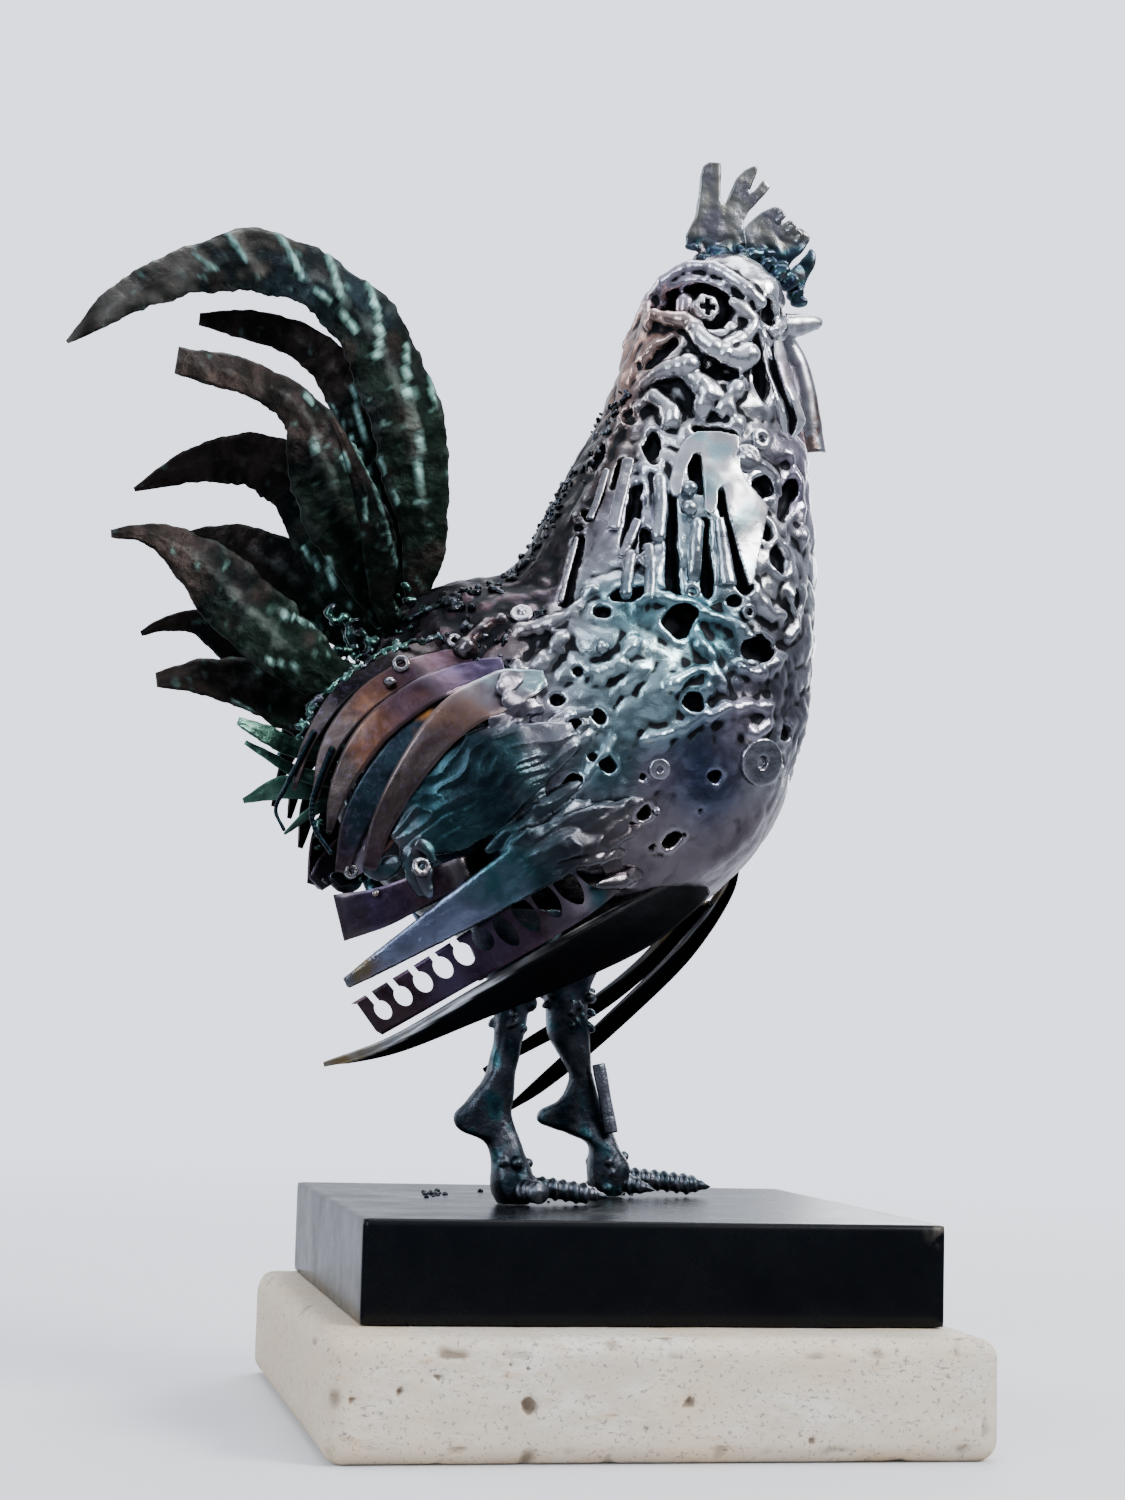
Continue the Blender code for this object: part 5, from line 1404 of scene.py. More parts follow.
def dented(points, push, tree, side):        # pits and slots pressed into the skin
    mask = np.zeros(len(points))
    flip = np.array((1, side * -1, 1))
    right, up = lookRight * flip, lookUp * flip
    jitter = np.random.default_rng(5 + side)
    for px, py, a, b, tilt, depth in body["pits"]:
        if side > 0:
            px, py = px + jitter.normal() * 5, py + jitter.normal() * 5
        spot, normal = landing(tree, px, py, side)
        near = np.flatnonzero(np.linalg.norm(points - spot, axis=1) < 2.2 * max(a, b) * mm)
        offset = points[near] - spot
        angle = math.radians(tilt)
        u = offset @ (right * math.cos(angle) - up * math.sin(angle)) / (a * mm)
        v = offset @ (right * math.sin(angle) + up * math.cos(angle)) / (b * mm)
        away = np.hypot(u, v) * (1 + 0.55 * noiseAt(points[near], max(b, 2) * 1.4 * mm, 3.3))
        inside = np.clip((1.12 - away) / 0.42, 0, 1)
        inside = inside**2 * (3 - 2 * inside)
        rim = 0.16 * min(depth, 5) * np.exp(-(((away - 1.25) / 0.28) ** 2))
        push[near] += (rim - depth * inside) * mm
        mask[near] = np.maximum(mask[near], inside)
    for x1, y1, x2, y2, half, depth in body["slots"]:
        ends = [landing(tree, *end, side)[0] for end in ((x1, y1), (x2, y2))]
        way = ends[1] - ends[0]
        share = np.clip((points - ends[0]) @ way / (way @ way), 0, 1)
        away = np.linalg.norm(points - ends[0] - share[:, None] * way, axis=1) / (half * mm)
        inside = np.clip((1.15 - away) / 0.4, 0, 1)
        push -= depth * mm * inside
        mask = np.maximum(mask, inside)
    return mask


def bodyPaint(points, tree):
    folded = points * (1, 0, 1) + np.abs(points[:, 1:2] - middleY) * (0, 1, 0)
    folded = folded + 5 * mm * np.stack([noiseAt(points, 16 * mm, k) for k in (1.1, 6.2, 9.3)], -1)
    total = np.zeros((len(points), 3))
    weights = np.full(len(points), 1e-6)
    for px, py, reach, name in body["tints"]:
        spot, _ = landing(tree, px, py)
        spot = np.array((spot[0], abs(spot[1] - middleY), spot[2]))
        weight = np.exp(-(np.linalg.norm(folded - spot, axis=1) / (reach * mm)) ** 2)
        total += weight[:, None] * np.array(paint[name])
        weights += weight
    return (total + 1e-6 * np.array(paint["slate"])) / weights[:, None]


def parted(shape, height):        # the faces above and below a height, each closed with a hidden fan
    points, faces = shape
    level = np.array([points[face, 2].mean() for face in faces]) > height
    made = []
    for upper in (True, False):
        chosen = [face for face, isUpper in zip(faces, level) if isUpper == upper]
        used, index = np.unique(np.concatenate(chosen), return_inverse=True)
        sizes = np.cumsum([len(face) for face in chosen])[:-1]
        local = [list(map(int, face)) for face in np.split(index.reshape(-1), sizes)]
        owned = set()
        for face in local:
            for k in range(len(face)):
                owned.add((face[k], face[(k + 1) % len(face)]))
        rim = [(a, b) for a, b in owned if (b, a) not in owned]
        middle = len(used)
        centre = points[used][[a for a, _ in rim]].mean(0)
        local += [[b, a, middle] for a, b in rim]
        made.append(((np.vstack([points[used], centre]), local), used))
    return made


def beadsOn(tree, side, kind, wobble):
    shapes = []
    for path, first, last, lift in body[kind]:
        spots = [landing(tree, *pixel, side) for pixel in path]
        line = smoothRows([spot + normal * lift * mm for spot, normal in spots], 14 * len(path))
        uneven = 1 + wobble * noiseAt(line, 5 * mm) + 0.3 * noiseAt(line, 2.3 * mm)
        radii = np.linspace(first, last, len(line)) * mm * uneven
        shapes.append(tube(line, radii, 12, facing=spots[0][1]))
    return shapes


def makeBody():
    smooth = fused(shapeOf(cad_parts["body"].data), body["coarse"], 8)
    tree = treeOf(smooth)
    ridged = [smooth] + [shape for side in (-1, 1) for shape in beadsOn(tree, side, "ridges", 0.5)]
    points, faces = fused(joined(ridged), body["voxel"], 3)
    normals = normalsOf((points, faces))
    warpSize, warpReach = body["warp"]
    warped = points + warpReach * np.stack([noiseAt(points, warpSize, k) for k in (0.3, 4.4, 8.5)], -1)
    z = (points[:, 2] - soleZ) / unit
    calm = np.clip((z - 110) / 70, 0.25, 1)        # the plate low on the breast is smoother
    push = np.zeros(len(points))
    for (size, rise), calming in zip(body["lobes"], (calm, calm, 0.5 + 0.5 * calm)):
        push += rise * calming * (np.sqrt(np.abs(noiseAt(warped, size, size * 500)) + 0.01) - 0.45)
    for side in (-1, 1):
        dented(points, push, tree, side)
    points = points + normals * push[:, None]
    beads = [shape for side in (-1, 1) for shape in beadsOn(tree, side, "beads", 0.35)]
    whole = fused(joined([(points, faces)] + beads), body["voxel"], 1)
    points = whole[0]
    hollow = np.clip(0.85 * hollowsOf(whole, 1.1 * mm, 16) + 0.45 * hollowsOf(whole, 0.4 * mm, 4), -1, 1)
    # points sunk deep below the smooth skin, in the deep pits, get more of the soot-and-shade colour as painted shade
    sunk = np.empty(len(points))
    for k, point in enumerate(points.tolist()):
        spot, normal, _, _ = tree.find_nearest(point)
        sunk[k] = (Vector(point) - spot).dot(normal)
    hollow = np.clip(hollow + np.clip(-(sunk + 2.2 * mm) / (1.5 * mm), 0, 1), -1, 1)
    seen = pictureOf(points * (1, 0, 1) + (0, 1, 0) * (middleY - np.abs(points[:, 1:2] - middleY)))
    behind = (np.interp(seen[:, 1], *np.array(body["nape"]).T) - seen[:, 0]) / 40      # painted shade on the nape and back: a darker colour, more of the soot-and-shade mix and less of the ridge highlight
    hollow = np.clip(hollow + 0.4 * np.clip(behind, 0, 1), -1, 1)
    colours = bodyPaint(points, tree) * (1 - 0.55 * np.clip(behind, 0, 1))[:, None]
    whole, colours, hollow = thinned("molten_body", whole, colours, hollow)
    normals = normalsOf(whole)
    names = {True: "molten_head_and_neck", False: "molten_torso"}
    for (shape, used), upper in zip(parted(whole, origin[2] + body["cut"] * unit), (True, False)):
        tint = np.vstack([colours[used], colours[used[:1]]])
        depth = np.append(hollow[used], 0.0)
        piece = newPiece(names[upper], shape, castMetal, ["body"], tint, depth)
        facing = np.vstack([normals[used], (0, 0, -1 if upper else 1)])
        piece.data.normals_split_custom_set_from_vertices(facing.tolist())
    return tree


bodyTree = makeBody()
print("body made")

# Scrap welded to the head and neck, drawn along pixels of the picture
pixelSize = mm / 2.75
scrap = {
    "voxel": 0.55 * mm,
    "comb": {        # outline in pixels, drawn units from the centre plane, thickness
        "comb_fork": (1.0, 2.2 * mm, [
            (685, 235), (690, 226), (695, 217), (698, 197), (700, 176), (703, 166), (710, 161), (718, 160),
            (721, 162),
            (721, 176), (720, 197), (724, 206), (728, 197), (736, 179), (744, 170), (755, 164), (758, 168),
            (756, 176),
            (750, 191), (748.5, 197), (764, 179), (771, 187), (762, 198), (749, 212), (744, 221), (743, 229),
            (746, 240),
            (748, 253), (744, 270), (700, 270), (699, 252), (686, 249),
        ]),
        "comb_notched": (-0.4, 2.0 * mm, [
            (742, 231), (749, 222), (761, 212), (775, 206), (782, 209), (786.5, 216), (777, 223), (779, 225),
            (790, 220.5),
            (794.5, 227), (787, 233), (789, 236), (799, 227), (809, 235), (811, 240), (805, 249), (795, 259),
            (788, 269),
            (779, 272), (756, 272), (746, 262),
        ]),
        "comb_pointed": (2.0, 1.8 * mm, [
            (811, 247), (816, 253), (814, 268), (806, 283), (801, 302), (793, 303), (788, 290), (781, 276),
            (790, 271), (802, 258),
        ]),
    },
    "curls": [[(779, 220), (784, 216), (781, 212)], [(789, 231), (794, 226), (790, 222)], [(797, 241), (801, 235), (797, 231)]],
    "combLumps": [
        (703, 262, 4.2), (716, 254, 4.6), (722, 262, 5.5), (736, 262, 5.0), (741, 250, 3.2), (752, 258, 5.0),
        (764, 254, 4.0),
        (764, 266, 5.0), (778, 272, 4.5), (788, 282, 4.5), (795, 293, 4.0), (692, 247, 2.6), (728, 246, 3.0),
        (798, 303, 3.0),
    ],
    "fork": [
        (667, 490), (672, 499), (679, 497), (684, 472), (692, 456), (699, 456), (702, 482), (703, 511),
        (709, 517), (715, 512),
        (717, 491), (722, 488), (728, 520), (738, 558), (748, 588), (752, 584), (758, 555), (763, 530),
        (767, 509), (757, 497),
        (746, 484), (739, 470), (738, 450), (738, 438), (715, 433), (695, 434), (684, 441), (676, 455), (671, 470),
    ],
    # flat bars and round rods: pixels, half widths at both ends and flatness, lift in mm
    "bars": [
        ([(629, 460), (621, 495), (613, 530)], 2.6, 2.6, 0.45, 0.6),
        ([(638, 521), (630, 540), (622, 558)], 1.9, 1.9, 0.6, 0.8),
        ([(660, 480), (661, 508), (658, 537)], 2.8, 3.0, 0.9, 0.4),
        ([(697, 524), (695, 550), (693, 577)], 2.7, 2.8, 0.9, 0.2),
        ([(719, 518), (723, 550), (728, 586)], 2.2, 3.6, 0.8, 0.2),
        ([(631, 557), (628, 576), (626, 594)], 2.6, 2.6, 1.0, 0.6),
        ([(578, 540), (570, 572), (562, 602)], 1.0, 1.0, 1.0, 0.9),
        ([(745, 459), (770, 474), (776, 494)], 3.4, 2.0, 0.9, 0.6),
        ([(607, 470), (598, 500), (590, 520)], 1.6, 1.8, 0.6, 0.5),
        ([(648, 545), (650, 575), (648, 600)], 2.2, 2.4, 0.7, 0.3),
    ],
    "balls": [(689, 489, 3.3), (689, 509, 3.4), (669, 419, 3.0), (656, 811, 1.7), (602, 648, 2.7), (522, 615, 2.0)],
    # washers: pixel, outer radius, hole, thickness in mm
    "washers": [
        (760, 762, 9.0, 2.3, 2.4), (659, 769, 4.0, 1.1, 1.6), (608, 831, 5.4, 2.7, 1.8), (759, 440, 4.2, 1.3, 3.4),
        (746, 459, 5.4, 1.2, 3.0), (647, 561, 3.4, 1.5, 2.2), (522, 615, 4.4, 2.2, 2.0), (455, 642, 3.0, 1.3, 1.4),
        (692, 592, 3.2, 1.4, 1.8), (668, 600, 2.6, 1.1, 1.8), (748, 612, 3.0, 1.3, 1.6),
    ],
    "wattle": {
        "left": [(765, 341), (763, 354), (766, 370), (773, 388), (778, 405), (780, 424), (784, 437)],
        "right": [(782, 340), (787, 358), (791, 376), (797, 396), (803, 412), (806, 421), (801, 431), (793, 439)],
        "foldAbove": [(0, 1.4), (0.1, 1.2), (0.22, -1.6), (0.46, -2.0), (0.54, 2.0), (0.75, 1.2), (1, -0.6)],
        "foldBelow": [(0, 1.2), (0.22, 1.4), (0.4, -1.4), (0.6, -1.6), (0.7, 1.6), (0.85, 1.0), (1, -0.2)],
        "out": [(340, 20), (362, 25), (400, 26), (440, 22)],
    },
    "eye": {"pixel": (708, 307), "radius": 5.6 * mm, "cross": (1.25 * mm, 3.5 * mm, 2.4 * mm), "lobes": 6, "drop": 1.6 * mm},
    "beakUpper": [(783, 327, 9.5, 7.4), (791, 327, 9.0, 7.0), (803, 325, 7.6, 6.0), (813, 324, 5.6, 4.6), (820, 323.5, 3.4, 3.0),
                  (822.5, 323, 1.2, 1.2)],
    "beakLower": [(779, 333, 3.4, 3.2), (788, 334, 2.6, 2.6), (796, 336, 1.2, 1.2)],
}


def cutPlate(outline, thick, voxel=None):        # in picture space: across and down, then height
    flat = np.array(outline, float) * pixelSize
    count = len(flat)
    layers = [np.column_stack([flat, np.full(count, height)]) for height in (0.0, thick)]
    faces = gridFaces(2, count, wrap=True) + [list(range(count))[::-1], list(range(count, 2 * count))]
    return fused(facingOut((np.vstack(layers), faces)), voxel or scrap["voxel"], 2)


def laidOn(tree, shape, side=-1, lift=0.0):
    points, faces = shape
    spots = [landing(tree, u / pixelSize, v / pixelSize, side) for u, v, _ in points]
    normal = unitVectors(np.mean([facing for _, facing in spots], axis=0))
    laid = np.array([spot for spot, _ in spots]) + normal * (points[:, 2:] + lift)
    return facingOut((laid, faces))


def stoodUp(shape, depth):        # a plate that stands on the centre plane, as the comb does
    points, faces = shape
    middle = points[:, 2].mean()
    stood = np.array([onPlane(u / pixelSize, v / pixelSize, depth) for u, v, _ in points])
    stood[:, 1] += points[:, 2] - middle
    return facingOut((stood, faces))


def washer(centre, facing, outer, hole, thick, sides=40):
    turnUp = np.array(Vector(facing).to_track_quat("Z", "Y").to_matrix())
    half, edge = thick / 2, 0.18 * thick
    section = [(hole, -half), (outer, -half), (outer, half - edge), (outer - edge, half), (hole + edge, half)]
    section.append((hole, half - edge))
    turn = 2 * math.pi * np.arange(sides) / sides
    rings = np.array([[(r * math.cos(t), r * math.sin(t), h) for r, h in section] for t in turn])
    points = rings.reshape(-1, 3) @ turnUp.T + np.asarray(centre, float)
    size = len(section)
    faces = []
    for i in range(sides):
        for k in range(size):
            a, b = i * size + k, i * size + (k + 1) % size
            c, d = (i + 1) % sides * size + (k + 1) % size, (i + 1) % sides * size + k
            faces.append([a, b, c, d])
    return facingOut((points, faces))


def steelTint(points, stops, size=9 * mm, seed=0.0, reach=1.6):
    amount = 0.5 + reach * noiseAt(points, size, seed) + 0.4 * noiseAt(points, size / 4, seed)
    return blended(stops, np.clip(amount, 0, 1))


def makeComb():
    every = scrap["combLumps"]
    lumps = {"comb_fork": every[:7], "comb_notched": every[7:10], "comb_pointed": every[10:]}
    for name, (depth, thick, outline) in scrap["comb"].items():
        shapes = [stoodUp(cutPlate(outline, thick), depth * unit)]
        for px, py, radius in lumps[name]:
            centre = onPlane(px, py, depth * unit) + (0, rng.normal() * 0.8 * mm, 0)
            size = 1.25 * radius * mm
            shapes.append(blob(centre, (size, size * 0.6, size * 0.75), 9, 14, rng.normal(size=3)))
        if name == "comb_notched":
            for path in scrap["curls"]:
                line = smoothRows([onPlane(px, py, depth * unit - thick / 2) for px, py in path], 14)
                shapes.append(tube(line, 1.0 * mm, 10))
        points, faces = fused(joined(shapes), scrap["voxel"], 3)
        melted = np.clip((onPlane(720, 225)[2] - points[:, 2]) / (8 * mm), 0, 1)
        push = 0.35 * mm * noiseAt(points, 6 * mm) + 0.1 * mm * noiseAt(points, 1.8 * mm)
        push += melted * mm * (1.8 * np.abs(noiseAt(points, 8 * mm, 2.2)) - 0.4)
        points = points + normalsOf((points, faces)) * push[:, None]
        points[:, 2] = np.minimum(points[:, 2], cadBox[1][2])
        low = 0.95 * np.clip((onPlane(720, 234)[2] - points[:, 2]) / (5 * mm) + noiseAt(points, 6 * mm), 0, 1)[:, None]
        plate, root = ([(0, "pewter"), (0.5, "olive"), (1, "slate")],
                       [(0, "lagoon"), (0.4, "navy"), (0.7, "teal"), (1, "slate")])
        colours = 1.3 * steelTint(points, plate, 12 * mm, 0.0, 1.2) * (1 - low)
        colours += 0.5 * steelTint(points, root, 6 * mm, 2.0) * low
        newPiece(name + "_plate", (points, faces), scrapMetal, [name], colours,
                 0.6 * hollowsOf((points, faces)))


def makeBeak():
    for name, key in (("beak_upper", "beakUpper"), ("beak_lower", "beakLower")):
        rows = np.array(scrap[key], float)
        px, py, tall, wide = smoothRows(rows, 30).T
        turn = 2 * math.pi * np.arange(20) / 20
        rings = []
        for k in range(30):
            middle = onPlane(px[k], py[k])
            up = np.sign(np.sin(turn)) * np.abs(np.sin(turn)) ** 0.8 * tall[k] * 0.55 * mm
            out = np.sign(np.cos(turn)) * np.abs(np.cos(turn)) ** 0.8 * wide[k] * 0.9 * mm
            ring = np.stack([np.full(20, middle[0]), middle[1] + out, middle[2] + up], -1)
            rings.append(ring)
        points, faces = ringShape(rings)
        points = points + normalsOf((points, faces)) * (0.3 * mm * noiseAt(points, 3 * mm))[:, None]
        points[:, 0] = np.minimum(points[:, 0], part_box(name)[1].x)
        colours = steelTint(points, [(0, "pewter"), (0.6, "silver"), (1, "slate")], 5 * mm)
        newPiece(name + "_horn", (points, faces), scrapMetal, [name], colours,
                 hollowsOf((points, faces), 0.6 * mm, 8))


def makeWattles():        # rolled sheets that hang open towards the front
    rolls = {
        "wattle_left": (1, [
            (66, 342, 4, 8, 60), (76, 334, 7, 8, 130), (82, 321, 9, 8, 170), (85, 304, 11, 8, 150),
            (87, 291, 9, 8, 90),
        ]),
    }
    for name, (side, rows) in rolls.items():
        x, z, width, out, curl = smoothRows(rows, 46).T
        middle = place(x, side * out, z)
        ahead = unitVectors(np.gradient(middle, axis=0))
        opening = np.array((-0.35, side * 1.0, 0.0))
        facing = unitVectors(opening - ahead * (ahead @ opening)[:, None])
        across = np.cross(ahead, facing)
        lanes = np.linspace(-1, 1, 19)
        half = np.radians(curl) / 2
        radius = width * unit / 2 / np.maximum(np.sin(np.minimum(half, math.pi / 2)), 0.2)
        angle = lanes[None, :] * half[:, None]
        sheet = middle[:, None] + across[:, None] * (radius[:, None] * np.sin(angle))[..., None]
        sheet = sheet - facing[:, None] * (radius[:, None] * (np.cos(angle) - 0.6))[..., None]
        sheet = sheet + 0.6 * mm * noiseAt(sheet, 8 * mm)[..., None] * facing[:, None]
        normal = unitVectors(np.cross(np.gradient(sheet, axis=0), np.gradient(sheet, axis=1)))
        thick = 0.55 * mm
        points = np.concatenate([(sheet + normal * thick).reshape(-1, 3), (sheet - normal * thick).reshape(-1, 3)])
        count, size = 46, 46 * 19
        faces = gridFaces(count, 19) + [face[::-1] for face in gridFaces(count, 19, start=size)]
        border = list(range(19)) + [i * 19 + 18 for i in range(1, count)]
        border += [(count - 1) * 19 + k for k in range(17, -1, -1)] + [i * 19 for i in range(count - 2, 0, -1)]
        for a, b in zip(border, border[1:] + border[:1]):
            faces.append([b, a, a + size, b + size])
        shape = facingOut((points, faces))
        inner = (normal * facing[:, None]).sum(-1).reshape(-1) > 0
        shade = np.concatenate([inner, ~inner]) * np.tile(np.tile(0.7 * (lanes < 0.1) * (1 - np.abs(lanes) ** 3), count), 2)
        colours = steelTint(points, [(0, "silver"), (0.5, "lavender"), (0.8, "pewter"), (1, "brown")], 12 * mm)
        newPiece(name + "_sheet", shape, scrapMetal, [name], colours,
                 hollowsOf(shape, 0.8 * mm, 8) * 0.5 + shade)


def makeNearWattle():        # a leaf folded so that its rim and its front strip stand out beside a dark hollow
    near = scrap["wattle"]
    points, faces = cutPlate(near["left"] + near["right"][::-1], 1.4 * mm, 0.45 * mm)
    u, v = points[:, 0] / pixelSize, points[:, 1] / pixelSize
    left, right = (np.interp(v, *np.array(near[key]).T[::-1]) for key in ("left", "right"))
    share = np.clip((u - left) / np.maximum(right - left, 1), 0, 1)
    upper, lower = (np.interp(share, *np.array(near[key]).T) for key in ("foldAbove", "foldBelow"))
    fall = np.clip((v - 388) / 24, 0, 1)
    fold = upper * (1 - fall) + lower * fall
    out = np.interp(v, *np.array(near["out"]).T) * unit + fold * mm
    laid = np.array([onPlane(*spot) for spot in zip(u, v, -out - points[:, 2])])
    laid[:, 1] += 0.3 * mm * noiseAt(laid, 5 * mm)
    colours = 1.45 * steelTint(laid, [(0, "silver"), (0.5, "silver"), (0.8, "lavender"), (1, "mauve")], 9 * mm)
    # the hollow of the fold is darkened as painted shade, and the raised strips get a slight painted highlight
    newPiece("wattle_right_sheet", facingOut((laid, faces)), scrapMetal, ["wattle_right"], colours,
             np.clip(-fold / 1.6, -0.3, 1))


def makeEye(label, side):
    eye = scrap["eye"]
    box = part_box(label + "_eye")
    centre = np.array([(box[0][k] + box[1][k]) / 2 for k in range(3)])
    facing = unitVectors(np.array((0.12, side, 0.05)))
    rings, sides = 30, 72
    turn = 2 * math.pi * np.arange(sides) / sides
    rows = []
    for k in range(rings):
        share = (k + 1) / rings
        r = eye["radius"] * share * (1 - 0.07 * share**3 * (1 + np.cos(eye["lobes"] * turn + 0.6)))
        height = 2.2 * mm - 2.6 * mm * max(share - 0.72, 0) ** 1.5 * 4
        u, v = r * np.cos(turn + 0.5), r * np.sin(turn + 0.5)
        thin, reach, depth = eye["cross"]
        inside = np.minimum(np.abs(u), np.abs(v)) < thin
        inside &= np.hypot(u, v) < reach
        rows.append(np.stack([u, v, height - depth * inside], -1))
    shank = 0.9 * eye["radius"]
    rows.append(np.stack([shank * np.cos(turn + 0.5), shank * np.sin(turn + 0.5), np.full(sides, -4 * mm)], -1))
    turnUp = np.array(Vector(facing).to_track_quat("Z", "Y").to_matrix())
    points, faces = ringShape(np.array(rows))
    sunk = np.clip((1.2 * mm - points[:, 2]) / (1.0 * mm), 0, 1) * (np.hypot(points[:, 0], points[:, 1]) < 3.8 * mm)
    points = points @ turnUp.T + centre + facing * 0.4 * mm - (0, 0, eye["drop"])
    points = points + 0.25 * mm * noiseAt(points, 2 * mm)[:, None] * facing
    # the sunk middle and cross slot take the soot-and-shade colour as painted shade, and the rest of the head a slight
    # painted highlight
    newPiece(label + "_eye_screw", facingOut((points, faces)), scrapMetal, [label + "_eye"],
             np.tile(paint["silver"], (len(points), 1)), np.where(sunk > 0.3, 1.0, -0.3))


def makeNeckScrap(label, side):
    plate = laidOn(bodyTree, cutPlate(scrap["fork"], 2.2 * mm), side, 0.2 * mm)
    plate = (plate[0] + 0.3 * mm * noiseAt(plate[0], 6 * mm)[:, None] * np.array((0, side, 0)), plate[1])
    newPiece(label + "_fork_plate", plate, scrapMetal, [label + "_hackle"],
             steelTint(plate[0], [(0, "ice"), (0.35, "silver"), (1, "silver")], 12 * mm))
    shapes = []
    for path, first, last, flatness, lift in scrap["bars"]:
        spots = [landing(bodyTree, *pixel, side) for pixel in path]
        line = smoothRows([spot + normal * lift * mm for spot, normal in spots], 24)
        radii = np.linspace(first, last, 24) * mm * (1 + 0.12 * noiseAt(line, 4 * mm))
        shapes.append(tube(line, radii, 12, facing=spots[0][1], flatness=flatness, domes=flatness > 0.85))
    for px, py, radius in scrap["balls"]:
        spot, normal = landing(bodyTree, px, py, side)
        shapes.append(blob(spot + normal * 0.5 * mm, radius * mm, 12, 18, normal))
    for px, py, outer, hole, thick in scrap["washers"]:
        spot, normal = landing(bodyTree, px, py, side)
        tipped = unitVectors(normal + 0.15 * rng.normal(size=3))
        shapes.append(washer(spot + normal * 0.7 * mm, tipped, outer * mm, hole * mm, thick * mm))
    whole = fused(joined(shapes), 0.5 * mm, 1)
    points, faces = whole
    push = 0.25 * mm * noiseAt(points, 4 * mm) + 0.12 * mm * noiseAt(points, 1.5 * mm)
    points = points + normalsOf(whole) * push[:, None]
    colours = 0.5 * bodyPaint(points, bodyTree) + 0.5 * steelTint(points, [(0, "slate"), (0.5, "pewter"), (1, "silver")])
    newPiece(label + "_welded_scrap", (points, faces), castMetal, ["body"], colours)


def wingSpot(px, py, side=-1, layer=3.0):        # where a pixel meets the wing sheets
    out = 52.0
    for _ in range(4):
        spot = onPlane(px, py, -out * unit)
        x, z = (spot[0] - originX) / unit, (spot[2] - soleZ) / unit
        out = float(wingSurface(np.array([x]), np.array([z]))[0]) + layer * layerPitch
    return np.array((spot[0], middleY + side * out * unit, spot[2]))


